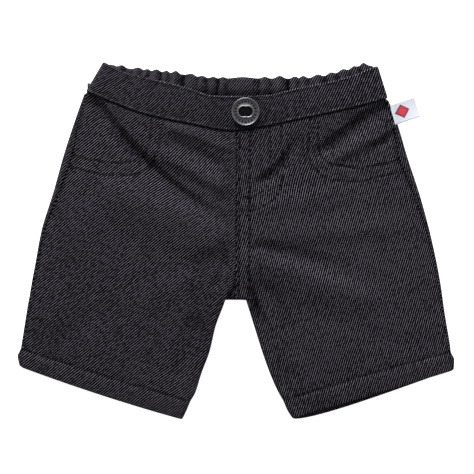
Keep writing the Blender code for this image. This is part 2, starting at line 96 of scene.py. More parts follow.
class Thread:
    """A node's socket. Sums on it add Math nodes to the same finish."""

    def __init__(self, tree, socket=None):
        self.tree = tree
        self.socket = socket

    def node(self, kind, settings=None, sockets=None, output=0):
        """Add a node: first its settings, then the values or threads of its sockets."""
        made = self.tree.nodes.new(kind)
        for name, value in (settings or {}).items():
            setattr(made, name, value)
        for name, value in (sockets or {}).items():
            if isinstance(value, Thread):
                self.tree.links.new(value.socket, made.inputs[name])
            else:
                made.inputs[name].default_value = value
        return Thread(self.tree, made.outputs[output])

    def math(self, operation, *values):
        return self.node("ShaderNodeMath", {"operation": operation}, dict(enumerate(values)))

    def __add__(self, other):
        return self.math("ADD", self, other)

    def __sub__(self, other):
        return self.math("SUBTRACT", self, other)

    def __rsub__(self, other):
        return self.math("SUBTRACT", other, self)

    def __mul__(self, other):
        return self.math("MULTIPLY", self, other)

    def __truediv__(self, other):
        return self.math("DIVIDE", self, other)

    __radd__ = __add__
    __rmul__ = __mul__

    def wave(self):
        """1 where this is a whole number, and 0 halfway between."""
        return self.math("COSINE", self * (2 * math.pi)) * 0.5 + 0.5

    def between(self, low, high):
        """0 up to low, 1 from high on, and a smooth rise between them."""
        limits = {"Value": self, "From Min": low, "From Max": high}
        return self.node("ShaderNodeMapRange", {"interpolation_type": "SMOOTHSTEP"}, limits)

    def bell(self, width):
        """1 where this is 0, falling away on both sides."""
        share = self / width
        return self.math("EXPONENT", share * share * -1.0)

    def parts(self):
        """The three numbers of a vector."""
        return [self.node("ShaderNodeSeparateXYZ", {}, {0: self}, output) for output in range(3)]

    def attribute(self, name):
        return self.node("ShaderNodeAttribute", {"attribute_name": name}, output=1)

    def noise(self, scale, detail=1.0, space="2D"):
        """Soft random values over this place."""
        sockets = {"Vector": self, "Scale": scale, "Detail": detail}
        return self.node("ShaderNodeTexNoise", {"noise_dimensions": space}, sockets)

    def mix(self, low, high):
        """The colour low where this is 0, and high where it is 1."""
        low, high = (c if isinstance(c, Thread) else (*c, 1.0) for c in (low, high))
        sockets = {"Factor": self, 6: low, 7: high}
        return self.node("ShaderNodeMix", {"data_type": "RGBA"}, sockets, output=2)

    def relief(self):
        """The surface's normal, where this is its height in millimetres."""
        return self.node("ShaderNodeBump", {}, {"Height": self, "Distance": MM})


def new_finish(name, colour, roughness, metallic=0.0, gloss=0.5):
    """A material with its shader, and a thread to start its nodes from."""
    material = bpy.data.materials.new(name)
    material.use_nodes = True
    shader = material.node_tree.nodes["Principled BSDF"]
    shader.inputs["Base Color"].default_value = (*colour, 1.0)
    shader.inputs["Roughness"].default_value = roughness
    shader.inputs["Metallic"].default_value = metallic
    shader.inputs["Specular IOR Level"].default_value = gloss
    return material, shader, Thread(material.node_tree)


def feed(shader, name, thread):
    thread.tree.links.new(thread.socket, shader.inputs[name])


def new_piece(name, bm, finish):
    """An object in the scene, made of a bmesh that isn't needed any more."""
    mesh = bpy.data.meshes.new(name)
    bm.to_mesh(mesh)
    bm.free()
    mesh.shade_smooth()
    mesh.materials.append(finish)
    piece = bpy.data.objects.new(name, mesh)
    bpy.context.scene.collection.objects.link(piece)
    return piece


acrylic, acrylic_shader, start = new_finish("pale_table_top", (0.6, 0.6, 0.6), 0.8)
acrylic_shader.inputs["Emission Color"].default_value = (1.0, 1.0, 1.0, 1.0)
acrylic_shader.inputs["Emission Strength"].default_value = TABLE_GLOW
haze = start.node("ShaderNodeTexNoise", {}, {"Scale": 60.0})
feed(acrylic_shader, "Roughness", haze * 0.1 + 0.75)
bm = bmesh.new()
bmesh.ops.create_grid(bm, x_segments=1, y_segments=1, size=TABLE_SIDE / 2 * MM)
new_piece("table_top", bm, acrylic)

# ---------------------------------------------------------------------------
# Cut of the shorts: two legs, each with a front and a back that meet at the side seam, the
# inseam and the centre seam. Black twill lies flat, so each leg is a flat tube whose sides
# roll over in small rounds. Every panel below is made on this form.
# ---------------------------------------------------------------------------
SEAM_GAP = 0.3

# One row for each section across a leg, from the waist seam to the hem's edge.
Outline = namedtuple("Outline", "place in_x in_y out_x out_y bow back_bow", defaults=(0, 0))
RIGHT_OUTLINE = [Outline(*row) for row in (
    ("waist seam", 0.3, 55.2, -75.3, 74.5),
    ("yoke", 0.3, 42, -80.8, 59.2),
    ("pocket", 0.2, 27, -86.1, 43.1),
    ("hip", 0.1, 10, -91.7, 23.4),
    ("seat", 0, -6, -97.4, 5.1),
    ("fork", -0.3, -19.2, -100.5, -11.4),
    ("crotch roll", -0.4, -27.8, -102.2, -20.5),
    ("crotch", -0.65, -29.6, -102.7, -23.5),
    ("crotch corner", -5.3, -29.8, -103.2, -26.5),
    ("inseam top", -5.65, -31, -103.3, -27.2),
    ("thigh", -10.1, -42.9, -104.5, -33.5),
    ("knee", -13.1, -55.4, -105.5, -40),
    ("low leg", -17.4, -67.1, -106.6, -47),
    ("above hem", -20.4, -76.5, -107.3, -51.5, 0.2),
    ("hem stitch", -22.8, -80.6, -107.7, -54, 0.3),
    ("hem flare", -24.5, -84.7, -109.3, -58, 0.6, 0.2),
    ("hem edge", -26.6, -89, -108.4, -62.4, 1, 0.5),
)]
LEFT_OUTLINE = [Outline(*row) for row in (
    ("waist seam", 0.3, 55.2, 75.7, 71.5),
    ("yoke", 0.3, 42, 80.9, 57.9),
    ("pocket", 0.2, 27, 85.8, 41.7),
    ("hip", 0.1, 10, 92.2, 22.3),
    ("seat", 0, -6, 97, 4.7),
    ("fork", -0.3, -19.2, 100.4, -10.5),
    ("crotch roll", -0.4, -27.8, 102.1, -19.5),
    ("crotch", -0.35, -29.7, 102.6, -22.5),
    ("crotch corner", 5, -29.9, 103.1, -26),
    ("inseam top", 5.35, -31.1, 103.2, -26.7),
    ("thigh", 9.1, -43.2, 104.1, -33.5),
    ("knee", 13.1, -55.9, 105.2, -40.5, -0.3),
    ("low leg", 17.3, -67.5, 106.5, -48, -0.6),
    ("above hem", 21.4, -76.5, 107.3, -53.3, -0.8),
    ("hem stitch", 23.5, -80.1, 107.5, -55.6, -0.9, 0.2),
    ("hem flare", 25.6, -84.9, 109.3, -59.8, -0.4, 1.4),
    ("hem edge", 27.9, -88.4, 109, -64.2, 0.2, 2.6),
)]
Form = namedtuple("Form", "place seam fold crown dip back_rise", defaults=(0, 0))
FORM = [Form(*row) for row in (
    ("waist seam", 0.9, 2.6, 0.4, 1, 9.4),
    ("yoke", 2.4, 2.4, 0.7, 0.7, 6.6),
    ("pocket", 4.4, 2.2, 1, 0.4, 3.8),
    ("hip", 3.2, 2, 1.2, 0.1, 1.4),
    ("seat", 1.8, 1.9, 1.3, 0, 0.4),
    ("fork", 1.2, 1.9, 1.2),
    ("crotch roll", 1, 1.9, 1.2),
    ("crotch", 1, 1.9, 1.2),
    ("crotch corner", 0.9, 1.9, 1.2),
    ("inseam top", 0.9, 1.9, 1.2),
    ("thigh", 0.9, 1.9, 1.1),
    ("knee", 0.9, 2, 1),
    ("low leg", 0.9, 2, 0.9),
    ("above hem", 0.9, 2.1, 0.7),
    ("hem stitch", 0.9, 2.2, 0.3),
    ("hem flare", 0.9, 2.3, 0.3),
    ("hem edge", 0.9, 2.3, 0.1),
)]
CROTCH = [form.place for form in FORM].index("crotch")
HEM_STITCH = [form.place for form in FORM].index("hem stitch")
CROWN_REACH = 14.0
STEP = 0.5
GRAIN_TURN = math.radians(17.0)

# Places where the cloth is pulled askew: the middle, the reach, and the turn in degrees.
Pull = namedtuple("Pull", "x y reach turn")
PULLS = [Pull(*row) for row in (
    (-20, 37, 20, 11), (-62, 50, 12, 5), (32, 50, 20, -13), (10, 45, 16, -9), (62, 52, 14, -6),
    (-22, -60, 16, 5),
)]

# Painted light and shade on the fronts: places painted lighter or darker to stand in for the light
# and shade along creases and troughs, and broader patches lighter or darker: the middle, the reach
# and how much.
Fade = namedtuple("Fade", "x y reach paler")
PAINTED_TONES = [Fade(*row) for row in (
    (-62, 15, 26, 0.06), (-70, 50, 14, 0.12), (-22, 8, 20, 0.12), (60, 8, 28, 0.25),
    (58, -34, 28, 0.2), (62, 44, 16, -0.15), (14, 38, 16, -0.12), (-22, -36, 18, -0.08),
    (-70, -50, 24, -0.06), (5.6, -16.5, 2.3, -0.6), (8.4, -24.3, 3, -0.8),
    (10.1, -31.5, 2.8, -0.6), (11, -38, 3.4, -0.4), (-0.8, -22.8, 2, -0.75),
    (-2.8, -27, 1.8, -0.6), (13.5, -30, 2.4, 0.25), (3.8, -5.5, 3.5, 0.6), (-53, 48, 3.2, -0.25),
    (-48, 42.5, 3.2, -0.45), (-57.5, 52.5, 3, -0.2), (11, -4, 4, 0.15), (-13, -44, 14, -0.28),
    (-31, -21, 8, 0.12), (-6.5, 23, 3.5, -0.25), (-5.5, 34, 3, -0.2), (-5.5, 12, 3, -0.15),
    (20, -40, 12, -0.2), (-58, -30, 24, -0.1), (58, -64, 12, -0.2), (7.6, -15.3, 2.2, 0.5),
    (9.6, -19.8, 2, 0.7), (11.6, -23.5, 2.2, 0.5), (9, -28.3, 1.8, -0.4), (9.4, -33.5, 2.8, -0.35),
    (10.2, -10.8, 2.6, -0.4), (11, -14, 2.4, -0.3), (-1.9, -24.5, 1.5, -0.4),
    (-3.3, -26.9, 2, -0.45), (-5.2, -22.3, 2.4, 0.5), (-5.5, -12.5, 2.8, -0.35),
    (-62.5, 54.5, 3.2, -0.5), (-57, 49.5, 3.2, -0.5), (-53, 44.5, 3.2, -0.45),
    (-42, 34.8, 3, -0.25), (-69.5, 63, 4, -0.3), (-23, 24.5, 3.5, 0.25), (34, 50, 7, -0.35),
    (46, 56, 5, -0.3), (56, 51, 3.5, -0.3), (60, 63, 5, -0.3), (73, 59, 6, -0.35),
    (81, 60, 4, -0.3), (25, 38.5, 3.5, -0.35), (21, 33.5, 3.5, -0.35), (27, 15, 5, 0.3),
    (20, 8, 5, 0.3), (21, -3, 4, 0.3), (-96, -42, 9, -0.25), (-88, -10, 12, -0.15),
    (-19, -15, 8, -0.2), (30, -76, 9, -0.25), (26, -66, 6, -0.3), (42, -81, 6, -0.3),
    (54, 62.5, 4, -0.35), (48, 45.5, 4, -0.4), (61.5, 45, 3, 0.35), (50, 38.5, 2.5, 0.35),
    (-22, 33, 3.5, 0.4), (-13, 27, 4, 0.4), (-11, 45, 3.5, 0.5), (-45, 38.5, 3, -0.3),
    (-91, -50, 14, -0.15), (-76, -6, 10, -0.12), (-86, 15, 6, -0.2), (3.6, -20, 2.6, 0.4),
    (3.4, -13, 2.6, 0.25),
)]

# The waistbands' edges as they lie.
FRONT_LOW_EDGE = (
    (-74.6, 75.2), (-61.3, 69.6), (-48.3, 64.7), (-34.8, 61.3), (-19, 58.2), (-7.1, 55.9),
    (0.3, 55.5), (9.8, 56.9), (35.3, 62.1), (62, 68), (75.7, 71.9),
)
FRONT_HIGH_EDGE = (
    (-66.3, 89.3), (-57, 84.4), (-45, 81.2), (-24.5, 76.3), (-11.5, 72.2), (1.5, 71.9), (16, 72.5),
    (27.5, 75.2), (54.4, 81), (70.9, 87.2),
)
BACK_LOW_EDGE = (
    (-74.6, 75.2), (-61.3, 72.2), (-34.8, 67.6), (-7.1, 64.9), (9.8, 64.7), (35.3, 65.8),
    (62, 69.6), (75.7, 71.9),
)
BACK_HIGH_EDGE = (
    (-66.3, 89.3), (-57, 87), (-30, 84), (-9.5, 81.6), (1.5, 81.6), (28, 81.5), (40, 82.2),
    (54.4, 85.3), (64.6, 88.2), (70.9, 87.2),
)


def between_knots(t, step, start, end, start_slope, end_slope):
    """The smooth curve from one knot to the next, where t is the share of the step."""
    return (
        start * (1 + 2 * t) * (1 - t) ** 2 + end * t * t * (3 - 2 * t)
        + step * (start_slope * t * (1 - t) ** 2 + end_slope * t * t * (t - 1))
    )


def eased(knots, values):
    """Smooth curve through the knots that never overshoots."""
    knots = np.array(knots, float)
    values = np.array(values, float)
    steps = np.diff(knots)
    slopes = np.diff(values) / steps
    pairs = slopes[:-1] * slopes[1:]
    sums = np.where(pairs > 0, slopes[:-1] + slopes[1:], 1.0)
    tangents = np.concatenate((slopes[:1], np.where(pairs > 0, 2 * pairs / sums, 0.0), slopes[-1:]))

    def curve(x):
        x = np.clip(x, knots[0], knots[-1])
        i = np.clip(np.searchsorted(knots, x, side="right") - 1, 0, len(steps) - 1)
        t = (x - knots[i]) / steps[i]
        return between_knots(t, steps[i], values[i], values[i + 1], tangents[i], tangents[i + 1])

    return curve


def edge(points):
    return eased([x for x, _ in points], [y for _, y in points])


def smooth_step(x):
    x = np.clip(x, 0.0, 1.0)
    return x * x * (3 - 2 * x)


def round_over(distance, radius):
    """Height of a round edge at a distance inside the outline: 0 on it, 1 a radius inside."""
    q = np.clip(distance / radius, 0.0, 1.0)
    return np.sqrt(q * (2 - q))


def inset(run, radius):
    """Distance inside the outline of a point that lies this far round the fold from it."""
    quarter = radius * math.pi / 2
    angle = np.minimum(run, quarter) / radius
    return radius * (1 - np.cos(angle)) + np.maximum(run - quarter, 0.0)


def run_to(distance, radius):
    """How far round the fold a point lies that is this far inside the outline."""
    angle = np.arccos(1 - np.minimum(distance / radius, 1.0))
    return radius * angle + np.maximum(distance - radius, 0.0)


def nearest(x, y, path):
    """Signed distance from points to a path, and the run along the path where it is met."""
    best = np.full(np.shape(x), np.inf)
    signed = np.zeros(np.shape(x))
    along = np.zeros(np.shape(x))
    walked = 0.0
    for (ax, ay), (bx, by) in zip(path, path[1:]):
        length = math.hypot(bx - ax, by - ay)
        t = np.clip(((x - ax) * (bx - ax) + (y - ay) * (by - ay)) / length**2, 0, 1)
        off_x = x - ax - t * (bx - ax)
        off_y = y - ay - t * (by - ay)
        distance = np.hypot(off_x, off_y)
        closer = distance < best
        best = np.where(closer, distance, best)
        side = np.sign((bx - ax) * off_y - (by - ay) * off_x)
        signed = np.where(closer, distance * side, signed)
        along = np.where(closer, walked + t * length, along)
        walked += length
    return signed, along, walked


front_low, back_low = edge(FRONT_LOW_EDGE), edge(BACK_LOW_EDGE)


class Leg:
    """One half of the shorts, described by its sections. v is the run down the leg, and a
    run across it counts from the outline: up over the front, or, below zero, under the back."""

    def __init__(self, outline):
        ends = [(row.in_x, row.in_y, row.out_x, row.out_y) for row in outline]
        steps = [
            (math.dist(above[:2], below[:2]) + math.dist(above[2:], below[2:])) / 2
            for above, below in zip(ends, ends[1:])
        ]
        self.knots = np.concatenate(((0.0,), np.cumsum(steps)))
        for rows in (outline, FORM):
            for column in rows[0]._fields[1:]:
                setattr(self, column, eased(self.knots, [getattr(row, column) for row in rows]))
        self.crotch = self.knots[CROTCH]
        self.hem = self.knots[HEM_STITCH]
        self.end = self.knots[-1]
        self.side = math.copysign(1, outline[0].out_x)
        edge_run = np.linspace(self.crotch, self.knots[CROTCH + 1], 30)
        self.crotch_edge = np.stack((self.in_x(edge_run), self.in_y(edge_run)), axis=1)

    def width(self, v):
        return np.hypot(self.out_x(v) - self.in_x(v), self.out_y(v) - self.in_y(v))

    def length(self, v):
        """Run from the outline of the side to the inner edge, round the folds."""
        bends = np.where(v < self.crotch, 1, 2)
        return self.width(v) + bends * self.fold(v) * (math.pi / 2 - 1)

    def share(self, v, run):
        fold, width, length = self.fold(v), self.width(v), self.length(v)
        from_side = 1 - inset(run, fold) / width
        from_inseam = inset(np.maximum(length - run, 0.0), fold) / width
        return np.where((v < self.crotch) | (run < length / 2), from_side, from_inseam)

    def along_section(self, v, share, is_back):
        in_y = self.in_y(v) + (self.back_rise(v) if is_back else 0.0)
        x = self.in_x(v) + (self.out_x(v) - self.in_x(v)) * share
        return x, in_y + (self.out_y(v) - in_y) * share

    def plan(self, v, share, is_back):
        x, y = self.along_section(v, share, is_back)
        top_x, top_y = self.along_section(np.zeros_like(v), share, is_back)
        seam = (back_low if is_back else front_low)(top_x) - SEAM_GAP
        y = y + self.dip(v) * (seam - top_y) - self.bow(v) * 4 * share * (1 - share)
        if is_back:
            y = y - self.back_bow(v) * np.sin(math.pi * np.sqrt(np.clip(share, 0.0, 1.0)))
        return x, y

    def facing(self, x, y, v, sign):
        """Unit vectors away from the cloth, square to the line that x(v), y(v) draws."""
        before = np.maximum(v - STEP, self.crotch if sign < 0 else 0.0)
        after = np.minimum(v + STEP, self.end)
        along_x, along_y = x(after) - x(before), y(after) - y(before)
        size = np.hypot(along_x, along_y) * sign * self.side
        return np.stack((-along_y / size, along_x / size), axis=-1)

    def face(self, v, run, is_back, relief):
        """Points on the outer face, its normals, and the cloth's own coordinates there."""
        fold, width, length = self.fold(v), self.width(v), self.length(v)
        reach = np.abs(run)
        share = self.share(v, reach)
        x, y = self.plan(v, share, is_back)
        from_side = width * (1 - share)
        from_edge = np.abs(nearest(x, y, self.crotch_edge)[0])
        side_level = round_over(from_side, fold)
        inner_level = round_over(from_edge, fold)
        turn = np.clip((length - reach) / fold, 0.0, math.pi / 2)
        low = v >= self.crotch
        inner_level = np.where(low, np.minimum(inner_level, np.sin(turn)), inner_level)
        from_edge = np.where(low, np.minimum(from_edge, width * share), from_edge)
        level = side_level * inner_level
        apart = SEAM_GAP / 2 * (1 - inner_level)
        crown = self.crown(v) * smooth_step((np.minimum(from_side, from_edge) - fold) / CROWN_REACH)
        raised = relief(x, y, v) * level
        above = fold + (fold + crown) * level + apart + raised
        below = fold * (1 - level) - apart + np.where(run > 0, 0.0, np.maximum(raised, 0.0))
        points = np.stack((x, y, np.where(run > 0, above, below)), axis=-1)
        outwards = self.facing(self.out_x, self.out_y, v, 1)
        inwards = self.facing(self.in_x, self.in_y, np.maximum(v, self.crotch), -1)
        flat = outwards * np.sqrt(1 - side_level**2)[..., None]
        flat = flat + inwards * np.sqrt(1 - inner_level**2)[..., None]
        normals = np.concatenate((flat, np.where(run > 0, level, -level)[..., None]), axis=-1)
        normals /= np.linalg.norm(normals, axis=-1)[..., None]
        spare = fold * (math.pi / 2 - 1)
        rolled = inset(reach, fold) + (run if is_back else -run) + spare
        left = np.maximum(length - reach, 0.0)
        tucked = np.where(low & (reach > length / 2), inset(left, fold) - left + spare, 0.0)
        flat = points[..., :2] + outwards * rolled[..., None] + inwards * tucked[..., None]
        return points, normals, self.grain(x, y, flat[..., 0], flat[..., 1], is_back)

    def grain(self, x, y, flat_x, flat_y, is_back):
        """The cloth's own coordinates, across and along the warp, once it is rolled out flat,
        and the painted light and shade at each point."""
        lean = GRAIN_TURN * self.side
        u = flat_x * math.cos(lean) + flat_y * math.sin(lean)
        v = -flat_x * math.sin(lean) + flat_y * math.cos(lean)
        for pull in () if is_back else PULLS:
            off_x, off_y = x - pull.x, y - pull.y
            turn = math.radians(pull.turn) * np.exp(-(off_x**2 + off_y**2) / pull.reach**2)
            u, v = u + turn * off_y, v - turn * off_x
        # Painted light and shade: each patch makes the weft lighter or darker around its middle.
        paler = np.zeros_like(u)
        for fade in () if is_back else PAINTED_TONES:
            reached = np.hypot(x - fade.x, y - fade.y) / fade.reach
            paler = paler + fade.paler * np.exp(-(reached**2))
        return np.stack((-u if is_back else u, v, paler), axis=-1)


right_leg = Leg(RIGHT_OUTLINE)
left_leg = Leg(LEFT_OUTLINE)


def no_relief(x, y, v):
    return 0.0 * x


# ---------------------------------------------------------------------------
# Fronts: two panels of black twill. Mock pockets and a mock fly are only stitched on. The
# edges turn in at the seams, and each hem is turned up once and stitched.
# ---------------------------------------------------------------------------
CLOTH = 0.5

# A panel's grid: rows down it, above its waist seam and up its turned hem, and columns.
ROW_PITCH = 0.85
TUCK_ROWS = (-4.0, -1.5, -0.6)
HEM_ROWS = (1.0, 4.0, 9.0)
FRONT_COLUMNS = 128
CROWDING = 0.5

# Its edges: how they roll down and turn in at the seams, the waistband and the hem.
SEAM_ROUND = 0.6
SEAM_STEPS = (0.0, 0.07, 0.2, 0.38, 0.6)
ROLLED_DOWN = 0.7
TURNED_IN = 1.1
BAND_LAP = 0.8
WAIST_DIP, DIP_ENDS, DIP_EASES = 1.0, 2.0, 1.6
HEM_ROUND = 0.5

# Its folds come up from above the waist seam and calm down towards the hem, which is thicker.
# The left front's edge lies over the centre seam as a raised strip.
FOLDS_FROM, FOLDS_START, HEM_CALM_PAST, HEM_CALM = 2.0, 7.0, 3.0, 14.0
STRIP_FROM, STRIP_TO, STRIP_HEIGHT = 0.6, 7.2, 0.35
STRIP_RISE, STRIP_FALL = 0.7, 0.8
HEM_HEIGHT, HEM_STARTS, HEM_RISE = 0.3, 0.6, 1.6

# Stitching: a stitch's length, how far its pull on the cloth reaches, and how strongly it shows:
# painted shade in its groove and a painted highlight where the cloth bulges beside it.
STITCH = 2.3
PULL_ENDS, PULL_EASES = 3.0, 1.2
HEM_SHOWS, SEAM_SHOWS = 0.8, 0.45
SEAM_ROLL = 0.9
FAR = 9.0
ROW_STEP = 1.0
FOLD_POINTS = 20

# Soft folds, each from its end nearer the right side: where it starts, bends and ends, how
# high its crest is (below zero for a trough), how far it spreads above and below its line,
# and the shares of its length over which it comes up and dies away.
Fold = namedtuple("Fold", "place x0 y0 x1 y1 x2 y2 height above below rise fade")
FRONT_FOLDS = [Fold(*row) for row in (
    ("right hip trough", -75, 78, -50, 33.5, 4, 4, -3.1, 4, 8, 0.12, 0.55),
    ("right hip crest", -74, 26, -40, 20, -2, -5, 2, 12, 22, 0.2, 0.15),
    ("right fly crest", -40, 57, -20, 53, -1, 44, 1.2, 6, 3.5, 0.3, 0.2),
    ("right fly trough", -40, 51, -22, 47, -1, 34, -1.3, 4, 6, 0.3, 0.25),
    ("right pocket crest", -46, 46, -22, 36, -1, 22, 1.6, 6, 5, 0.3, 0.2),
    ("right seat trough", -28, -17, -14, -9, -2, -7, -0.9, 8, 10, 0.6, 0.15),
    ("right crotch crease", -12, -26, -7, -14, -3, -4, -0.9, 2.5, 4, 0.2, 0.3),
    ("right knee crest", -50, -36, -34, -22, -14, -14, 0.6, 10, 12, 0.3, 0.3),
    ("right inseam trough", -31, -74, -25, -52, -19, -34, -0.9, 7, 7, 0.2, 0.3),
    ("right shin trough", -92, -52, -74, -42, -56, -28, -0.5, 9, 9, 0.3, 0.3),
    ("left hip trough", 36, 40, 52, 51, 80, 73, -2.9, 4.5, 8, 0.28, 0.12),
    ("left fly trough", 7, 27, 25, 33, 31, 54, -2, 4, 5, 0.2, 0.35),
    ("left pocket crest", 42, 37, 60, 47, 80, 56, 1.3, 6, 5, 0.3, 0.2),
    ("left side trough", 62, 43, 73, 48, 87, 60, -1.6, 3, 4, 0.5, 0.1),
    ("left thigh crest", 8, 16, 34, 19, 62, 25, 1, 9, 12, 0.15, 0.4),
    ("left hip crest", 6, 2, 46, 4, 92, 8, 1, 12, 9, 0.15, 0.3),
    ("left crotch trough", 5, -4, 30, -6, 64, -17, -1.2, 6, 8, 0.12, 0.5),
    ("left crotch crest", 5, -9, 34, -18, 84, -36, 1.8, 9, 17, 0.1, 0.4),
    ("left crotch crease", 5, -12, 9, -25, 12, -47, -1.5, 2.6, 2.6, 0.15, 0.4),
    ("left inseam trough", 10, -18, 22, -30, 28, -60, -1.5, 8, 6, 0.25, 0.35),
    ("left shin trough", 24, -78, 27, -62, 27, -46, -0.8, 8, 8, 0.3, 0.3),
    ("left knee trough", 58, -42, 76, -54, 96, -52, -0.4, 9, 9, 0.3, 0.3),
)]
# Rows of stitching: points along each, from its start.
LEFT_ROWS = {
    "centre seam": ((1.6, 55.6), (1.5, 20), (1.4, -10), (1.2, -28)),
    "centre topstitch": ((6.9, 56.2), (6.8, 20), (6.6, -10), (6.2, -27.5)),
    "fly inner": ((17.2, 58.2), (16.9, 40), (16, 27.5), (12.2, 23.8), (8, 21.7), (2, 20.8)),
    "fly outer": (
        (22.6, 59.3), (22.9, 45), (23.4, 34.7), (22.8, 28), (20.2, 22.2), (16, 18.2),
        (10, 15.6), (1.6, 15.4),
    ),
    "pocket inner": (
        (41.3, 63), (41, 55), (41, 46.7), (44, 40.2), (47.2, 37.9), (53, 37.2),
        (61.5, 35.8), (69, 37.2), (75.7, 38.6), (82, 39.9),
    ),
    "pocket outer": (
        (37.2, 62.2), (36.4, 52), (36.3, 41.2), (39.5, 35.7), (43.4, 31.8), (47, 30.2),
        (54.5, 29.7), (64, 29.5), (68.6, 31), (78, 33.2), (84.2, 34.9),
    ),
}
RIGHT_ROWS = {
    "pocket inner": (
        (-82, 42.6), (-77.5, 41.4), (-69.5, 39.7), (-63, 38.7), (-56.5, 38.7), (-50.4, 39.9),
        (-46, 42.5), (-43.4, 48), (-42.7, 55), (-42, 62),
    ),
    "pocket outer": (
        (-84, 37.2), (-77.5, 35.3), (-72.5, 34), (-66, 32.8), (-59.7, 32.7), (-53.5, 32.7),
        (-47.4, 33.6), (-42.5, 37.5), (-39.5, 43.5), (-38, 51.2), (-36.6, 57.2), (-35.4, 60.6),
    ),
}


def bent(fold):
    """Points along the curve that leaves a fold's start towards its bend and ends at its end."""
    t = np.linspace(0, 1, FOLD_POINTS)
    x = fold.x0 * (1 - t) ** 2 + 2 * fold.x1 * t * (1 - t) + fold.x2 * t * t
    y = fold.y0 * (1 - t) ** 2 + 2 * fold.y1 * t * (1 - t) + fold.y2 * t * t
    return np.stack((x, y), axis=1)


def runs_along(points):
    """How far along a line of points each of them lies."""
    return np.concatenate(((0.0,), np.cumsum(np.hypot(*np.diff(points, axis=0).T))))


def rounded(points):
    """A smooth line through the points of a stitch row, at even steps."""
    points = np.array(points, float)
    runs = runs_along(points)
    slopes = np.gradient(points, runs, axis=0)
    even = np.linspace(0, runs[-1], max(2, round(runs[-1] / ROW_STEP)))
    i = np.clip(np.searchsorted(runs, even, side="right") - 1, 0, len(runs) - 2)
    step = (runs[i + 1] - runs[i])[:, None]
    t = (even - runs[i])[:, None] / step
    return between_knots(t, step, points[i], points[i + 1], slopes[i], slopes[i + 1])


def soft_folds(table, x, y):
    """Height that the soft folds of a table add at each point."""
    total = np.zeros(np.shape(x))
    for fold in table:
        away, along, walked = nearest(x, y, bent(fold))
        spread = np.where(away > 0, fold.above, fold.below)
        across = 0.5 + 0.5 * np.cos(math.pi * np.minimum(np.abs(away) / spread, 1.0))
        t = along / walked
        ends = smooth_step(t / fold.rise) * smooth_step((1 - t) / fold.fade)
        total += fold.height * across * ends
    return total


def crowded(count):
    """Fractions from 0 to 1 that lie closer together towards both ends."""
    t = np.linspace(0, 1, count + 1)
    return t - CROWDING * np.sin(2 * math.pi * t) / (2 * math.pi)


def seam_dip(distance):
    """How far a seamed edge has rolled down, at a distance from the seam."""
    inside = np.clip(SEAM_ROUND - distance, 0.0, SEAM_ROUND)
    return ROLLED_DOWN * (SEAM_ROUND - np.sqrt(SEAM_ROUND**2 - inside**2))


def shown_mesh(name, rows, extras, finish, wall=0.0):
    """A sheet over rows of points, with what its finish reads at each of them."""
    tall, wide = rows.shape[0] - 1, rows.shape[1] - 1
    bm = bmesh.new()
    bmesh.ops.create_grid(bm, x_segments=wide, y_segments=tall, size=1.0)
    piece = new_piece(name, bm, finish)
    mesh = piece.data
    flat = np.empty(len(mesh.vertices) * 3)
    mesh.vertices.foreach_get("co", flat)
    flat = flat.reshape(-1, 3)
    i = np.rint((flat[:, 0] + 1) / 2 * wide).astype(int)
    j = np.rint((flat[:, 1] + 1) / 2 * tall).astype(int)
    mesh.vertices.foreach_set("co", (rows[j, i] * MM).ravel())
    for key, values in extras.items():
        layer = mesh.attributes.new(key, "FLOAT_VECTOR", "POINT")
        layer.data.foreach_set("vector", np.ascontiguousarray(values[j, i]).ravel())
    mesh.update()
    if wall:
        cloth = piece.modifiers.new("cloth", "SOLIDIFY")
        cloth.thickness = wall * MM
        cloth.offset = -1.0
    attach(piece, "root")
    return piece


WALE = 1.06
FLECK = 2.0
TWILL_LEAN = math.radians(56.0)
WEFT_SHOWN = 0.53
GROOVE_WIDTH = 0.7
BULGE_WIDTH = 1.7
WALE_RELIEF = 0.16
BLACK_WARP = (0.0010, 0.0008, 0.0015)
GREY_WEFT = (0.230, 0.213, 0.258)


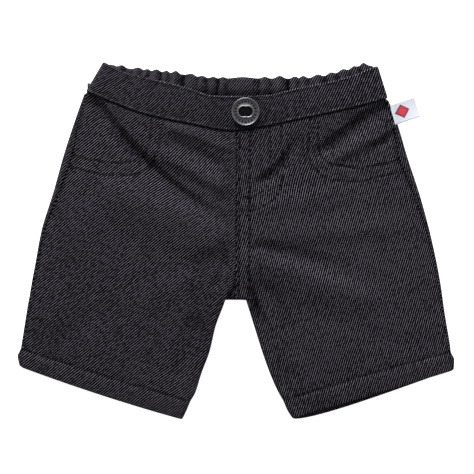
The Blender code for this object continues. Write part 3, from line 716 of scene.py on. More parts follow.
def denim(name):
    """Black twill: grey weft shows as flecks between the warp's steep wales. Beside stitches it
    carries a painted highlight where it bulges, and painted shade in the groove that the thread
    has pulled, deeper in some places than in others. A row whose strength is below zero paints a
    pale highlight along a fold or row, with painted shade beside it."""
    material, shader, start = new_finish(name, BLACK_WARP, 0.9, gloss=0.01)
    cloth = start.attribute("cloth")
    u, v, paler = cloth.parts()
    away, along, near = start.attribute("stitching").parts()
    side = u * math.sin(TWILL_LEAN) - v * math.cos(TWILL_LEAN)
    down = u * math.cos(TWILL_LEAN) + v * math.sin(TWILL_LEAN)
    long_way = start.node("ShaderNodeCombineXYZ", {}, {0: side / WALE, 1: down / FLECK})
    slub, worn, uneven = long_way.noise(1.0, 2.0), cloth.noise(0.11, 2.0), cloth.noise(0.8, 2.0)
    drift, pulled = cloth.noise(0.035), cloth.noise(0.2)
    near = near * (pulled.between(0.4, 0.62) * 0.7 + 0.3)
    wale = (side / WALE + drift * 1.2 + uneven * 0.3).wave()
    weft = wale.between(0.82, 1.0) * (slub.between(0.3, 0.7) * 1.2 + 0.45)
    # Painted light and shade: the third value of the cloth attribute lightens or darkens the weft.
    weft = weft * (worn * 0.6 + 0.66) * (paler + 1.0)
    weft = weft.math("MINIMUM", weft, 1.0) * WEFT_SHOWN
    groove = away.bell(GROOVE_WIDTH) * near
    bulge = (away.bell(BULGE_WIDTH) - away.bell(BULGE_WIDTH / 2)) * near
    stitch = along.wave().between(0.15, 0.6)
    # Painted light: the weft is painted lighter on the bulges beside a row and darker in its
    # groove.
    lit = weft * (1.0 + bulge * 0.5) * (1.0 - groove * (stitch * 0.5 + 0.5))
    height = wale * WALE_RELIEF + uneven * 0.06 - groove * (stitch * 0.3 + 0.12) + bulge * 0.12
    feed(shader, "Base Color", lit.mix(BLACK_WARP, GREY_WEFT))
    feed(shader, "Roughness", 0.95 - wale * 0.1)
    feed(shader, "Normal", height.relief())
    return material


black_denim = denim("black_denim")


def beside(distance):
    """1 near a row of stitches, and 0 where its pull on the cloth has ended."""
    return smooth_step((PULL_ENDS - np.abs(distance)) / PULL_EASES)


def stitch_field(x, y, rows, seams):
    """For the finish: the distance from the nearest row of stitches, how many stitches along
    it, and how strongly it shows. seams adds rows by their distance, run and strength."""
    found = [(*nearest(x, y, rounded(points))[:2], 1.0) for points in rows] + list(seams)
    best, run, near = (np.array(a) for a in np.broadcast_arrays(*found[0]))
    for away, along, strength in found[1:]:
        closer = np.abs(away) < np.abs(best)
        best = np.where(closer, away, best)
        run = np.where(closer, along, run)
        near = np.where(closer, strength, near)
    return np.stack((best, run / STITCH, near * beside(best)), axis=-1)


def panel_grid(leg, is_back, columns):
    """The rows down a panel and up its turned hem, and in each row where its points lie: down
    the leg, across it, and away from the side seam and from the open end."""
    turned = math.pi * HEM_ROUND
    down = np.concatenate((
        TUCK_ROWS, np.linspace(0.0, leg.end, round(leg.end / ROW_PITCH) + 1),
        leg.end + np.linspace(0, turned, 6)[1:], leg.end + turned + np.array(HEM_ROWS),
    ))
    past = down - leg.end
    v = np.clip(np.where(past > turned, leg.end - (past - turned), down), 0.0, leg.end)
    seam = run_to(leg.seam(v), leg.fold(v))
    open_end = leg.length(v) - np.where(v < leg.crotch, SEAM_GAP / 2, 0.0)
    steps = np.array((0.0, *SEAM_STEPS))
    sign = -1 if is_back else 1
    start = (seam + sign * SEAM_GAP / 2)[:, None]
    end = (sign * open_end)[:, None]
    first, last = start + sign * steps, end - sign * steps[::-1]
    middle = first[:, -1:] + (last[:, :1] - first[:, -1:]) * crowded(columns)[1:-1]
    run = np.concatenate((first, middle, last), axis=1)
    v = np.broadcast_to(v[:, None], run.shape)
    return down, v, run, np.abs(run - start), np.abs(end - run)


def panel(name, leg, is_back, columns, relief, rows, seam_strength):
    """A front or a back: its sheet with turned-in seam edges, and its hem turned up inside."""
    down, v, run, to_start, to_end = panel_grid(leg, is_back, columns)
    points, normals, grain = leg.face(v, run, is_back, relief)
    above, _, _ = leg.face(np.maximum(v - STEP, 0.0), run, is_back, relief)
    heading = points - above
    heading[..., 2] = 0.0
    heading /= np.maximum(np.linalg.norm(heading, axis=-1), 1e-6)[..., None]
    depth = seam_dip(to_start) + seam_dip(to_end)
    depth[:, 0] = depth[:, -1] = TURNED_IN
    angle = np.clip((down - leg.end) / HEM_ROUND, 0.0, math.pi)
    depth = depth + (HEM_ROUND * (1 - np.cos(angle)))[:, None]
    depth = depth + WAIST_DIP * smooth_step((DIP_ENDS - down) / DIP_EASES)[:, None]
    points = points - normals * depth[..., None]
    points = points + heading * (HEM_ROUND * np.sin(angle))[:, None, None]
    tucked = np.maximum(-down, 0.0)[:, None]
    points[..., 1] += tucked
    grain[..., 1] += tucked
    hem_away = np.broadcast_to((down - leg.hem)[:, None], run.shape)
    inseam = np.where(v > leg.crotch, to_end, FAR)
    field = stitch_field(points[..., 0], points[..., 1], rows, (
        (hem_away, run, HEM_SHOWS),
        (to_start - SEAM_ROLL, v, seam_strength),
        (inseam - SEAM_ROLL, v, seam_strength),
    ))
    if (leg.side < 0) != is_back:
        points, grain, field = points[:, ::-1], grain[:, ::-1], field[:, ::-1]
    extras = {"cloth": grain, "stitching": field}
    piece = shown_mesh(name, points, extras, black_denim, CLOTH)
    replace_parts(piece, name.replace("_denim", ""))
    return piece


def front_relief(leg):
    def relief(x, y, v):
        free = smooth_step((v + FOLDS_FROM) / FOLDS_START)
        free = free * smooth_step((leg.hem + HEM_CALM_PAST - v) / HEM_CALM)
        strip = smooth_step((x - STRIP_FROM) / STRIP_RISE)
        strip = strip * smooth_step((STRIP_TO - x) / STRIP_FALL)
        turned_up = smooth_step((v - leg.hem - HEM_STARTS) / HEM_RISE)
        raised = STRIP_HEIGHT * strip + HEM_HEIGHT * turned_up
        return soft_folds(FRONT_FOLDS, x, y) * free + raised

    return relief


front_right = panel(
    "front_right_denim", right_leg, False, FRONT_COLUMNS, front_relief(right_leg),
    RIGHT_ROWS.values(), SEAM_SHOWS,
)
front_left = panel(
    "front_left_denim", left_leg, False, FRONT_COLUMNS, front_relief(left_leg),
    LEFT_ROWS.values(), SEAM_SHOWS,
)

ALLOWANCE = 5.0
ALLOWANCE_FROM, ALLOWANCE_TO = 1.0, 0.4
ALLOWANCE_DEPTH, DEPTH_AT_CROTCH, DEPTH_EASES = 1.5, 0.65, 3.0


def centre_allowance(name, is_back):
    """The joined allowances of a centre seam, pressed flat inside the shorts along it."""
    v = np.linspace(ALLOWANCE_FROM, left_leg.crotch - ALLOWANCE_TO, 90)
    depths = (ALLOWANCE_TO, DEPTH_EASES), (DEPTH_AT_CROTCH, ALLOWANCE_DEPTH)
    depth = np.interp(left_leg.crotch - v, *depths)[:, None]
    end = left_leg.length(v) - SEAM_GAP
    seam, _, _ = left_leg.face(v, -end if is_back else end, is_back, no_relief)
    across = np.linspace(-ALLOWANCE, ALLOWANCE, 14)
    rows = seam[:, None] + np.stack((across, 0 * across, 0 * across), axis=1)
    rows[..., 2] += depth if is_back else -depth
    extras = {
        "cloth": rows * (1.0, 1.0, 0.0),
        "stitching": np.broadcast_to((FAR, 0.0, 0.0), rows.shape),
    }
    return shown_mesh(name, rows[::-1], extras, black_denim, CLOTH)


front_allowance = centre_allowance("front_seam_allowance", False)

# ---------------------------------------------------------------------------
# Backs: two plain panels that lie on the table, seamed down the middle. The elastic gathers
# their upper edge, and soft creases run down from it.
# ---------------------------------------------------------------------------
BACK_COLUMNS = 130
BACK_SEAM_SHOWS = 0.6
BACK_HEM_GROOVE, BACK_GROOVE_WIDTH = 0.26, 0.9
BACK_HEM_CALM = 12.0
BACK_RIGHT_ROW = ((-0.8, 64), (-0.9, 20), (-1.2, -28))
BACK_LEFT_ROW = ((1, 64), (0.9, 20), (0.6, -28))

BACK_FOLDS = [Fold(*row) for row in (
    ("right seat crest", -40, 12, -22, 30, -14, 58, 0.6, 7, 7, 0.4, 0.2),
    ("right side gather", -66, 56, -64, 62, -62, 70, 1, 2.6, 2.2, 0.6, 0.1),
    ("right hip gather", -57, 44, -55, 56, -52, 69, 1.2, 3, 2.4, 0.7, 0.1),
    ("right long gather", -50, 30, -45, 50, -42, 67, 1.3, 3.2, 2.6, 0.7, 0.08),
    ("right short gather", -36, 52, -34, 59, -33, 66, 0.9, 2.2, 2.6, 0.6, 0.1),
    ("right middle gather", -28, 38, -26, 52, -25, 65, 1.2, 2.6, 3.2, 0.7, 0.08),
    ("right inner gather", -15, 46, -15, 56, -16, 64, 1, 2.4, 2.8, 0.6, 0.1),
    ("right seam gather", -7, 50, -7, 57, -6, 63, 0.8, 2, 2.2, 0.6, 0.1),
    ("right seat pull", -70, -8, -44, -4, -8, -16, 0.9, 9, 7, 0.4, 0.2),
    ("right leg pull", -88, -40, -60, -46, -34, -60, 0.6, 9, 9, 0.4, 0.4),
    ("left seam gather", 7, 48, 8, 56, 7, 63, 0.9, 2.2, 2, 0.6, 0.1),
    ("left inner gather", 17, 38, 16, 50, 15, 63, 1.2, 2.8, 2.4, 0.7, 0.08),
    ("left middle gather", 25, 50, 25, 57, 26, 64, 0.8, 2.2, 2.6, 0.6, 0.1),
    ("left long gather", 38, 26, 36, 46, 34, 64, 1.3, 3.2, 2.6, 0.7, 0.08),
    ("left short gather", 44, 50, 44, 58, 43, 65, 0.9, 2.2, 2.2, 0.6, 0.1),
    ("left hip gather", 55, 42, 54, 55, 51, 66, 1.2, 2.6, 3, 0.7, 0.1),
    ("left side gather", 64, 54, 63, 60, 61, 68, 1, 2.2, 2.6, 0.6, 0.1),
    ("left seat pull", 8, -14, 40, -2, 74, -10, 0.9, 7, 9, 0.2, 0.4),
    ("left leg pull", 36, -58, 62, -48, 90, -44, 0.6, 9, 9, 0.4, 0.4),
)]


def back_relief(leg):
    def relief(x, y, v):
        groove = BACK_HEM_GROOVE * np.exp(-(((v - leg.hem) / BACK_GROOVE_WIDTH) ** 2))
        free = smooth_step((leg.hem - v) / BACK_HEM_CALM)
        return np.maximum(soft_folds(BACK_FOLDS, x, y), 0.0) * free + groove

    return relief


back_right = panel(
    "back_right_denim", right_leg, True, BACK_COLUMNS, back_relief(right_leg),
    [BACK_RIGHT_ROW], BACK_SEAM_SHOWS,
)
back_left = panel(
    "back_left_denim", left_leg, True, BACK_COLUMNS, back_relief(left_leg),
    [BACK_LEFT_ROW], BACK_SEAM_SHOWS,
)

back_allowance = centre_allowance("back_seam_allowance", True)

# ---------------------------------------------------------------------------
# Waistband: the front is a strip of twill folded along its top edge and stitched down over
# the fronts. The back is a wider casing, gathered by the elastic inside it.
# ---------------------------------------------------------------------------
BAND_HEIGHT = 6.3
BAND_WALL, CASING_WALL = 1.5, 2.6
BAND_STATION, CASING_STATION = 0.5, 0.4
END_GAP = 0.05
END_STATIONS = 14
LOW_ROUND = 0.6
LOW_POINTS, FACE_POINTS, FOLD_OVER_POINTS, INSIDE_POINTS = 5, 30, 9, 16
SAME_POINT = 0.005

# The front's strip: how it bulges, where its row of stitches lies, the painted shade over it,
# deepest near its middle, and the painted highlights along its row and its fold.
BAND_BULGE = 0.2
BAND_STITCH = 0.5
BAND_PAINTED_SHADE, MIDDLE_PAINTED_SHADE, MIDDLE_X, MIDDLE_REACH = 0.18, 0.3, 3.0, 20.0
ROW_HIGHLIGHT, FOLD_HIGHLIGHT = 1.2, 1.6
HIGHLIGHT_FROM_FOLD = 0.45

# The casing: the share of a gather's height on each face, how deep its inner face lies and
# sinks behind the front, how far its top drops, and the painted light on its gathers' crests and
# painted shade over each face.
INNER_CREST, OUTER_CREST = 2.1, 0.5
INNER_INSET = 0.5
CASING_SINK, SINK_FROM, SINK_EASES = 1.5, 0.66, 0.24
TOP_DROP = 0.3
INNER_PAINTED_LIGHT, INNER_PAINTED_SHADE = 1.9, 0.3
OUTER_PAINTED_LIGHT, OUTER_PAINTED_SHADE = 0.4, 0.2

# The elastic's gathers: the middle of each crest at the top edge, its half width, its height
# and how far it leans over the casing's width.
Gather = namedtuple("Gather", "x half height lean")
GATHERS = [Gather(*row) for row in (
    (-62, 2.4, 0.7, 1.5), (-57.2, 2.8, 1.1, -1), (-49, 3.2, 1, 2), (-44.4, 2.2, 0.7, -0.5),
    (-39.8, 2.8, 1, 1.5), (-34.9, 2.2, 0.8, 2.2), (-30.2, 2.6, 1.2, 1.8), (-22.4, 3.4, 0.9, 2.4),
    (-16.8, 2.6, 0.7, 1.2), (-11.4, 2.4, 0.65, 1.4), (-6.6, 2.2, 0.6, 1), (3.4, 7.4, 0.55, 0.4),
    (14.4, 3, 0.7, -0.8), (21.9, 3.4, 1.2, -1.2), (29.4, 2.6, 0.9, -2), (33.6, 2.6, 1, -1),
    (40.8, 3.4, 1.1, -2), (47.4, 2.6, 0.9, -1), (53.4, 3.2, 1, -2.2), (58.8, 2.2, 0.7, 0.5),
    (64.2, 2.8, 1.2, -1),
)]
# Painted shade of the sharp creases that the gathers press into the casing's inner face, wider
# towards its top edge; the creases themselves are not modelled: the middle there, half the width,
# how much darker, and the lean as above.
Crease = namedtuple("Crease", "x half darker lean")
CREASE_SHADES = [Crease(*row) for row in (
    (-50.5, 0.8, 0.5, 1.5), (-37.2, 0.9, 0.5, 1.2), (-26.2, 1.1, 0.6, 2), (-15.2, 1.4, 0.65, -2.6),
    (-8.7, 1, 0.65, 0.6), (-4.9, 0.6, 0.4, 0.2), (11.4, 1.2, 0.4, 0.8), (25.6, 1.2, 0.65, 1),
    (34.6, 0.8, 0.65, 1.2), (44.4, 0.9, 0.5, -1.2), (50.4, 0.9, 0.5, -1), (61.4, 0.8, 0.5, 0.6),
)]


def gathered(x, share):
    """Height of the gathers: x along the casing, and the share of its width from its seam."""
    total = np.zeros(np.broadcast(x, share).shape)
    for gather in GATHERS:
        middle = gather.x + gather.lean * (1 - share)
        near = np.minimum(np.abs(x - middle) / gather.half, 1.0)
        total = np.maximum(total, gather.height * (0.5 + 0.5 * np.cos(math.pi * near)))
    return total**0.8


def painted_crease_shade(x, share):
    """Painted shade that the sharp creases leave on the casing's inner face."""
    total = np.zeros(np.broadcast(x, share).shape)
    for crease in CREASE_SHADES:
        off = (x - crease.x - crease.lean * (1 - share)) / (crease.half * (share + 0.3))
        total += crease.darker * np.exp(-(off**2))
    return total


def ringed(values):
    """The values round a closed section, with the first one again at the end."""
    return np.concatenate((values, values[:1]))


def folded_section(width, wall, lap):
    """Points round a folded strip: distance from its low edge, and depth under its face."""
    half = wall / 2
    low = np.linspace(math.pi / 2, 0, LOW_POINTS)
    fold = np.linspace(0, math.pi, FOLD_OVER_POINTS)
    face = np.linspace(LOW_ROUND, width - half, FACE_POINTS)[1:-1]
    inside = np.linspace(width - half, 0.0, INSIDE_POINTS)[1:]
    away = np.concatenate((
        LOW_ROUND * (1 - np.sin(low)), face, width - half + half * np.sin(fold), inside, (0.0,),
    ))
    depth = np.concatenate((
        LOW_ROUND * (1 - np.cos(low)), np.zeros_like(face), half * (1 - np.cos(fold)),
        np.full_like(inside, wall), (LOW_ROUND,),
    ))
    return away - lap, depth


def closed(piece):
    """The piece with its meeting edges joined, its open ends filled and its faces outwards."""
    bm = bmesh.new()
    bm.from_mesh(piece.data)
    bmesh.ops.remove_doubles(bm, verts=bm.verts, dist=SAME_POINT * MM)
    bmesh.ops.holes_fill(bm, edges=[e for e in bm.edges if e.is_boundary], sides=0)
    bmesh.ops.recalc_face_normals(bm, faces=bm.faces)
    bm.to_mesh(piece.data)
    bm.free()
    return piece


def casing_form(x, up, outer, calm):
    """What the gathers do to a section of the casing: how far its top edge rises, how high
    its points lie, and the painted light and shade on them. up is the share of its width."""
    gather = gathered(x, up) * calm
    sunk = CASING_SINK * smooth_step((SINK_FROM - up) / SINK_EASES)
    inner = INNER_CREST * gather * calm - INNER_INSET - sunk
    lift = np.where(outer, OUTER_CREST * gather, inner)
    # Painted light on the gathers' crests, and painted shade in their troughs, in the creases and
    # over the whole face.
    inner_painted_light = INNER_PAINTED_LIGHT * gather - INNER_PAINTED_SHADE - painted_crease_shade(x, up)
    paler = np.where(outer, OUTER_PAINTED_LIGHT * gather - OUTER_PAINTED_SHADE, inner_painted_light) * calm
    return (gather - TOP_DROP) * up**2, lift, paler


def strip_form(x, up, over, angle):
    """How far a section of the front's strip bulges, and the painted shade over it."""
    lift = BAND_BULGE * smooth_step(up * 3) * smooth_step((1 - up) * 3) * over
    # Painted shade: the whole strip is darkened, most near its middle.
    dark = BAND_PAINTED_SHADE + MIDDLE_PAINTED_SHADE * math.exp(-(((x - MIDDLE_X) / MIDDLE_REACH) ** 2))
    return lift * math.sin(angle), np.full_like(up, -dark)


def band_stitching(from_row, from_fold, over, run, is_back):
    """What the finish reads of the row along a band's low edge, and of the painted highlight along
    its fold.
    """
    # On the front, a strength below zero paints a pale highlight along the row and the fold, with
    # painted shade just beside it.
    shown = (over > 0.9) * beside(from_row) * (1.0 if is_back else -ROW_HIGHLIGHT)
    worn = 0.0 if is_back else -FOLD_HIGHLIGHT * beside(from_fold)
    at_fold = (np.abs(from_fold) < np.abs(from_row)) & (over > 0.2)
    return np.column_stack((
        np.where(at_fold, from_fold, from_row), np.full_like(from_row, run / STITCH),
        np.where(at_fold, worn, shown),
    ))


def waistband(name, low_edge, high_edge, wall, lap, station, is_back):
    """A folded strip between two edges, whose ends roll down or up round the sides."""
    fold = BAND_HEIGHT / 2
    quarter = fold * math.pi / 2
    low_x, low_end_x = low_edge[0][0], low_edge[-1][0]
    high_x, high_end_x = high_edge[0][0], high_edge[-1][0]
    low, high = edge(low_edge), edge(high_edge)
    ends = np.array((low_edge[0], low_edge[-1])) + np.array((high_edge[0], high_edge[-1]))
    span = math.dist(*(ends / 2))
    length = span + 2 * (quarter - fold)
    runs = np.concatenate((
        np.linspace(END_GAP, quarter, END_STATIONS)[:-1],
        np.linspace(quarter, length - quarter, round((length - 2 * quarter) / station)),
        length - np.linspace(quarter, END_GAP, END_STATIONS)[1:],
    ))
    rows, grain, field = [], [], []
    for run in runs:
        near_end = min(run, length - run)
        angle = min(near_end, quarter) / fold
        share = inset(near_end, fold) / span
        share = share if run < length / 2 else 1 - share
        at_low = low_x + (low_end_x - low_x) * share
        at_high = high_x + (high_end_x - high_x) * share
        start = np.array((at_low, low(at_low)))
        across = np.array((at_high, high(at_high))) - start
        width = math.hypot(*across)
        across = across / width
        outwards = np.array((-across[1], across[0])) * (1 if run < length / 2 else -1)
        away, depth = folded_section(width + lap, wall, lap)
        up = np.clip(away / width, 0.0, 1.0)
        over = np.clip(1 - depth / wall, 0.0, 1.0)
        if is_back:
            calm = smooth_step((near_end - quarter) / quarter)
            rise, lift, paler = casing_form(at_high, up, over > 0.5, calm)
            away = away + rise
        else:
            lift, paler = strip_form(at_low, up, over, angle)
        flat = start + across * away[:, None] - outwards * (depth * math.cos(angle))[:, None]
        height = fold + (fold - depth) * math.sin(angle)
        z = BAND_HEIGHT - height + lift if is_back else height + lift
        u = np.full_like(away, run if is_back else (run + at_low + length / 2) / 2)
        v = away if is_back else (away + flat[:, 1]) / 2
        from_row, from_fold = away - BAND_STITCH + lap, away - width + HIGHLIGHT_FROM_FOLD
        rows.append(ringed(np.column_stack((flat, z))))
        grain.append(ringed(np.column_stack((u, v, paler))))
        field.append(ringed(band_stitching(from_row, from_fold, over, run, is_back)))
    rows, grain, field = np.array(rows), np.array(grain), np.array(field)
    if not is_back:
        rows, grain, field = rows[:, ::-1], grain[:, ::-1], field[:, ::-1]
    extras = {"cloth": grain, "stitching": field}
    return closed(shown_mesh(name, rows, extras, black_denim))


band_front = waistband(
    "waistband_front_denim", FRONT_LOW_EDGE, FRONT_HIGH_EDGE, BAND_WALL, BAND_LAP,
    BAND_STATION, False,
)
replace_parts(band_front, "waistband_front")
band_back = waistband(
    "waistband_back_casing", BACK_LOW_EDGE, BACK_HIGH_EDGE, CASING_WALL, 0.0,
    CASING_STATION, True,
)
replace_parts(band_back, "waistband_back")

# ---------------------------------------------------------------------------
# Topstitching: black cotton thread. Each stitch is a short arched bead of thread that lies in
# the groove it has pulled, and dives into the cloth at both ends.
# ---------------------------------------------------------------------------
THREAD = 0.2
THREAD_BLACK = (0.0025, 0.0025, 0.0035)
STITCH_SHARE = 0.68
THREAD_FLAT = 0.9
STEEPEST = 0.3
HEM_ROW_ENDS = 3.0
BAND_ROW_X = (-72.0, 73.5)
DROP_HEIGHT = 20.0


def thread_finish():
    material, shader, start = new_finish("black_thread", THREAD_BLACK, 0.6, gloss=0.1)
    twist = start.node("ShaderNodeTexCoord", output=3).noise(3000.0, 2.0, "3D")
    feed(shader, "Roughness", twist * 0.3 + 0.4)
    return material


black_thread = thread_finish()


def small_piece(name, bm, finish):
    """A piece drawn in millimetres, brought to its real size."""
    bmesh.ops.scale(bm, vec=(MM, MM, MM), verts=bm.verts)
    piece = new_piece(name, bm, finish)
    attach(piece, "root")
    return piece


def topstitch(name, piece, lines, from_below=False):
    """Stitches along lines over a piece, one bead to a stitch, set on its surface."""
    cloth = BVHTree.FromObject(piece, bpy.context.evaluated_depsgraph_get())
    drop = Vector((0, 0, 1 if from_below else -1))
    bm = bmesh.new()
    for line in lines:
        line = np.array(line)
        runs = runs_along(line)
        for middle in np.arange(STITCH, runs[-1] - STITCH / 2, STITCH):
            hits = []
            for side in (-STITCH_SHARE / 2, STITCH_SHARE / 2):
                x, y = (np.interp(middle + STITCH * side, runs, line[:, k]) for k in (0, 1))
                above = Vector((x, y, 0.0)) * MM - drop * (DROP_HEIGHT * MM)
                hits.append(cloth.ray_cast(above, drop)[:2])
            if not (hits[0][0] and hits[1][0]):
                continue
            along = (hits[1][0] - hits[0][0]) / MM
            face = (hits[0][1] + hits[1][1]).normalized()
            if along.length > STITCH or face.dot(drop) > -STEEPEST:
                continue
            side = face.cross(along).normalized()
            turn = Matrix((along.normalized(), side, face)).transposed().to_4x4()
            size = Matrix.Diagonal((along.length / 2 + THREAD, THREAD, THREAD * THREAD_FLAT, 1.0))
            centre = Matrix.Translation((hits[0][0] + hits[1][0]) / 2 / MM)
            bmesh.ops.create_uvsphere(
                bm, u_segments=8, v_segments=5, radius=1.0,
                matrix=centre @ turn @ size @ Matrix.Rotation(math.pi / 2, 4, "Y"),
            )
    return small_piece(name, bm, black_thread)


def hem_row(leg, is_back):
    """The hem's row of stitches, from the side to the inseam."""
    reach = np.linspace(HEM_ROW_ENDS, leg.length(leg.hem) - HEM_ROW_ENDS, 60)
    run = -reach if is_back else reach
    points, _, _ = leg.face(np.full_like(run, leg.hem), run, is_back, no_relief)
    return points[:, :2]


topstitch(
    "stitches_front_right", front_right,
    [rounded(row) for row in RIGHT_ROWS.values()] + [hem_row(right_leg, False)],
)
topstitch(
    "stitches_front_left", front_left,
    [rounded(row) for row in LEFT_ROWS.values()] + [hem_row(left_leg, False)],
)
topstitch("stitches_back_right", back_right, [hem_row(right_leg, True)], True)
topstitch("stitches_back_left", back_left, [hem_row(left_leg, True)], True)
band_line = [(x, front_low(x) + BAND_STITCH - BAND_LAP) for x in np.linspace(*BAND_ROW_X, 200)]
topstitch("stitches_waistband", band_front, [band_line])

# ---------------------------------------------------------------------------
# Side label: a white woven ribbon, folded end to end and caught in the left side seam. It
# carries a plain red lozenge with a darker rim, woven in.
# ---------------------------------------------------------------------------
LABEL_X, LABEL_Y = 77.8, 62.4
LABEL_LENGTH, LABEL_WIDTH = 12.8, 10.2
LABEL_SLANT = 1.7
LABEL_TURN = math.radians(18.5)
RIBBON = 0.35
LABEL_BEND = 0.45
LOZENGE_X, LOZENGE_Y, LOZENGE_WIDE, LOZENGE_TALL = 5.3, 0.3, 3.9, 3.7
RIBBON_RIB = 0.55
LABEL_LEVEL, LABEL_RISE, RISE_ENDS = 4.5, 1.7, 0.35
LABEL_FALL, FALL_STARTS = 1.5, 0.2
LABEL_CURL, LABEL_TWIST, UNDER_NARROWER = 0.35, 0.25, 0.04
OUT_POINTS, BEND_POINTS, SIDE_POINTS = 30, 9, 22
RIBBON_WHITE = (0.44, 0.46, 0.51)
LOZENGE_RED = (0.40, 0.004, 0.016)
RIM_RED = (0.13, 0.002, 0.014)


def ribbon_finish():
    """Satin ribbon with fine cross ribs, and the red weft of the motif."""
    material, shader, start = new_finish("white_woven_ribbon", RIBBON_WHITE, 0.55, gloss=0.2)
    place = start.attribute("cloth")
    along, across, _ = place.parts()
    fuzz = place.noise(1.6, 2.0)
    off_x = (along - LOZENGE_X) / LOZENGE_WIDE
    off_y = (across - LOZENGE_Y) / LOZENGE_TALL
    reach = off_x.math("ABSOLUTE", off_x) + off_y.math("ABSOLUTE", off_y) + fuzz * 0.12
    lozenge = 1.0 - reach.between(0.98, 1.1)
    rib = (along / RIBBON_RIB).wave()
    red = reach.between(0.66, 0.8).mix(LOZENGE_RED, RIM_RED)
    height = rib * 0.05 + fuzz * 0.04 + lozenge * 0.06
    feed(shader, "Base Color", (lozenge * (rib * 0.12 + 0.88)).mix(RIBBON_WHITE, red))
    feed(shader, "Roughness", rib * 0.15 + fuzz * 0.1 + 0.4)
    feed(shader, "Normal", height.relief())
    return material


def side_label():
    """The folded ribbon: its upper layer runs out, bends round and comes back underneath."""
    out = np.linspace(0.0, 1.0, OUT_POINTS)
    bend = np.linspace(0.0, math.pi, BEND_POINTS)[1:-1]
    sides = np.linspace(-0.5, 0.5, SIDE_POINTS)
    along = np.array((math.cos(LABEL_TURN), math.sin(LABEL_TURN)))
    across = np.array((-along[1], along[0]))

    def level(reach, side):
        fall = LABEL_FALL * np.clip(reach - FALL_STARTS, 0.0, 1.0) ** 1.5
        rise = LABEL_RISE * smooth_step(reach / RISE_ENDS) - fall
        curl = LABEL_CURL * (side * 2) ** 2 * reach
        return LABEL_LEVEL + rise + curl + LABEL_TWIST * math.sin(5 * reach) * side

    rows, grain = [], []
    for side in sides:
        base = LABEL_SLANT * side
        length = LABEL_LENGTH - base
        row = [(base + reach * length, level(reach, side), base + reach * length) for reach in out]
        tip, top = row[-1][0], row[-1][1]
        for angle in bend:
            row.append((
                tip + LABEL_BEND * math.sin(angle), top - LABEL_BEND * (1 - math.cos(angle)),
                tip + LABEL_BEND * angle,
            ))
        for reach in out[::-1]:
            under = level(reach, side) - 2 * LABEL_BEND
            row.append((base + reach * length, under, tip + (1 - reach) * length))
        wide = LABEL_WIDTH * side
        narrow = [wide * (1 - UNDER_NARROWER * smooth_step(run - tip)) for _, _, run in row]
        rows.append([
            (*(np.array((LABEL_X, LABEL_Y)) + along * a + across * w), z)
            for (a, z, _), w in zip(row, narrow)
        ])
        half_way = len(row) // 2
        grain.append([
            (a if i <= half_way + 1 else 2 * tip - run, wide, 0)
            for i, (a, _, run) in enumerate(row)
        ])
    return np.array(rows), np.array(grain, float)


label_rows, label_grain = side_label()
label = shown_mesh(
    "side_label_ribbon", label_rows, {"cloth": label_grain}, ribbon_finish(),
    RIBBON,
)
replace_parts(label, "side_label")

# ---------------------------------------------------------------------------
# Button: a pressed cap of nickel-plated brass over a blackened stud. Its hub has a
# figure-eight hole, its rim and hub edge are polished, and a worn ring between them carries
# plain raised beads and bars.
# ---------------------------------------------------------------------------
BUTTON_X, BUTTON_Y, BUTTON_Z = 4.75, 63.95, 6.6
HOLE_RADIUS, HOLE_OFFSET = 2.5, 1.05
CAP_POINTS, STUD_POINTS = 128, 64
CAP_WORN, CAP_BRIGHT = (0.065, 0.065, 0.07), (0.19, 0.19, 0.20)
BEAD_WORN, BEAD_BRIGHT = (0.012, 0.012, 0.014), (0.02, 0.02, 0.022)
STUD_WORN, STUD_BRIGHT = (0.008, 0.008, 0.01), (0.05, 0.05, 0.055)

# The cap's rings from the hole outwards and round the back: radius (0 for the hole's own
# figure), height and how polished it is.
Ring = namedtuple("Ring", "radius height polish")
BUTTON_RINGS = [Ring(*row) for row in (
    (-0.06, 1.05, 0.1), (0, 1.15, 0.2), (0, 1.5, 0.4), (0.1, 1.66, 0.8), (0.28, 1.74, 0.9),
    (0.42, 1.74, 0.8), (0.56, 1.66, 0.4), (0.66, 1.56, 0.1), (4.6, 1.56, 0), (6, 1.6, 0),
    (6.3, 1.66, 0.1), (6.42, 1.8, 0.4), (6.55, 1.98, 0.9), (6.7, 2.06, 1), (6.82, 2, 0.9),
    (6.92, 1.7, 0.4), (6.92, 0.6, 0.2), (6.85, 0.2, 0.2), (6.6, 0, 0.2), (6.1, 0, 0.2),
    (6, 0.9, 0.1), (3.9, 1, 0.1),
)]


def metal(name, worn, bright, low, high):
    """Plated metal, dull where it is sunk and polished where it stands proud."""
    material, shader, start = new_finish(name, bright, low, metallic=1.0)
    polish, _, _ = start.attribute("polish").parts()
    scuff = start.node("ShaderNodeTexCoord", output=3).noise(900.0, 3.0, "3D")
    shine = (polish + scuff * 0.4 - 0.2).between(0.1, 0.9)
    feed(shader, "Base Color", shine.mix(worn, bright))
    feed(shader, "Roughness", high - shine * (high - low))
    feed(shader, "Normal", (scuff * 0.02).relief())
    return material


nickel = metal("nickel", CAP_WORN, CAP_BRIGHT, 0.4, 0.55)
dark_nickel = metal("dark_nickel", BEAD_WORN, BEAD_BRIGHT, 0.4, 0.6)
blackened_steel = metal("blackened_steel", STUD_WORN, STUD_BRIGHT, 0.3, 0.5)


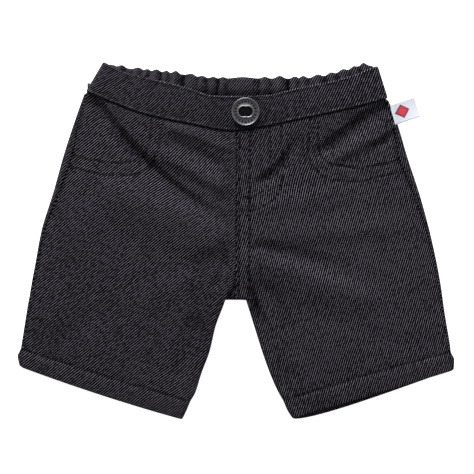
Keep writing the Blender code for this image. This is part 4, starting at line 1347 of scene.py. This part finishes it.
def button_cap():
    """The cap's rings as one closed mesh, round the hole's figure of eight."""
    angles = np.linspace(0, 2 * math.pi, CAP_POINTS + 1)
    hole = HOLE_OFFSET * np.abs(np.cos(angles))
    hole = hole + np.sqrt(HOLE_RADIUS**2 - (HOLE_OFFSET * np.sin(angles)) ** 2)
    rows, polish = [], []
    for ring in BUTTON_RINGS:
        radius = hole + ring.radius if ring.radius < 1 else np.full_like(hole, ring.radius)
        rows.append(np.column_stack((
            BUTTON_X + radius * np.cos(angles), BUTTON_Y + radius * np.sin(angles),
            np.full_like(angles, BUTTON_Z + ring.height),
        )))
        polish.append(np.outer(np.ones_like(angles), (ring.polish, 0.0, 0.0)))
    rows = np.array([*rows, rows[0]])[:, ::-1]
    polish = np.array([*polish, polish[0]])
    return closed(shown_mesh("button_cap", rows, {"polish": polish}, nickel))


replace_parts(button_cap(), "button_ring")

BEADS = 20
BEAD_RING, BEAD_LEVEL = 5.1, 1.58
BEAD_SIZE, BAR_SIZE = (0.58, 0.58, 0.16, 1.0), (0.85, 0.34, 0.16, 1.0)


def button_beads():
    """Raised marks on the worn ring: a bead, then a short bar, all the way round."""
    bm = bmesh.new()
    for i in range(BEADS):
        turn = 2 * math.pi * i / BEADS
        place = (
            Matrix.Translation((BUTTON_X, BUTTON_Y, BUTTON_Z + BEAD_LEVEL))
            @ Matrix.Rotation(turn, 4, "Z") @ Matrix.Translation((BEAD_RING, 0.0, 0.0))
            @ Matrix.Diagonal(BEAD_SIZE if i % 2 else BAR_SIZE)
        )
        bmesh.ops.create_uvsphere(bm, u_segments=12, v_segments=6, radius=1.0, matrix=place)
    return small_piece("button_beads", bm, dark_nickel)


button_beads()

# The stud's profile from its middle outwards and back underneath: radius and height.
STUD_PROFILE = (
    (0.01, 0.95), (1.2, 0.92), (2.2, 0.86), (2.9, 0.7), (3.3, 0.75), (5.2, 0.8), (5.4, 0.4),
    (5.4, 0.0), (0.01, 0.0),
)


def button_stud():
    """The stud's domed head, spun round its axis."""
    bm = bmesh.new()
    profile = [bm.verts.new((radius, 0.0, height)) for radius, height in STUD_PROFILE]
    edges = [bm.edges.new(pair) for pair in zip(profile, profile[1:])]
    bmesh.ops.spin(
        bm, geom=profile + edges, cent=(0, 0, 0), axis=(0, 0, 1), angle=2 * math.pi,
        steps=STUD_POINTS, use_merge=True,
    )
    bmesh.ops.remove_doubles(bm, verts=bm.verts, dist=0.02)
    bmesh.ops.recalc_face_normals(bm, faces=bm.faces)
    bmesh.ops.translate(bm, vec=(BUTTON_X, BUTTON_Y, BUTTON_Z), verts=bm.verts)
    return small_piece("stud_head", bm, blackened_steel)


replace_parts(button_stud(), "button_stud")
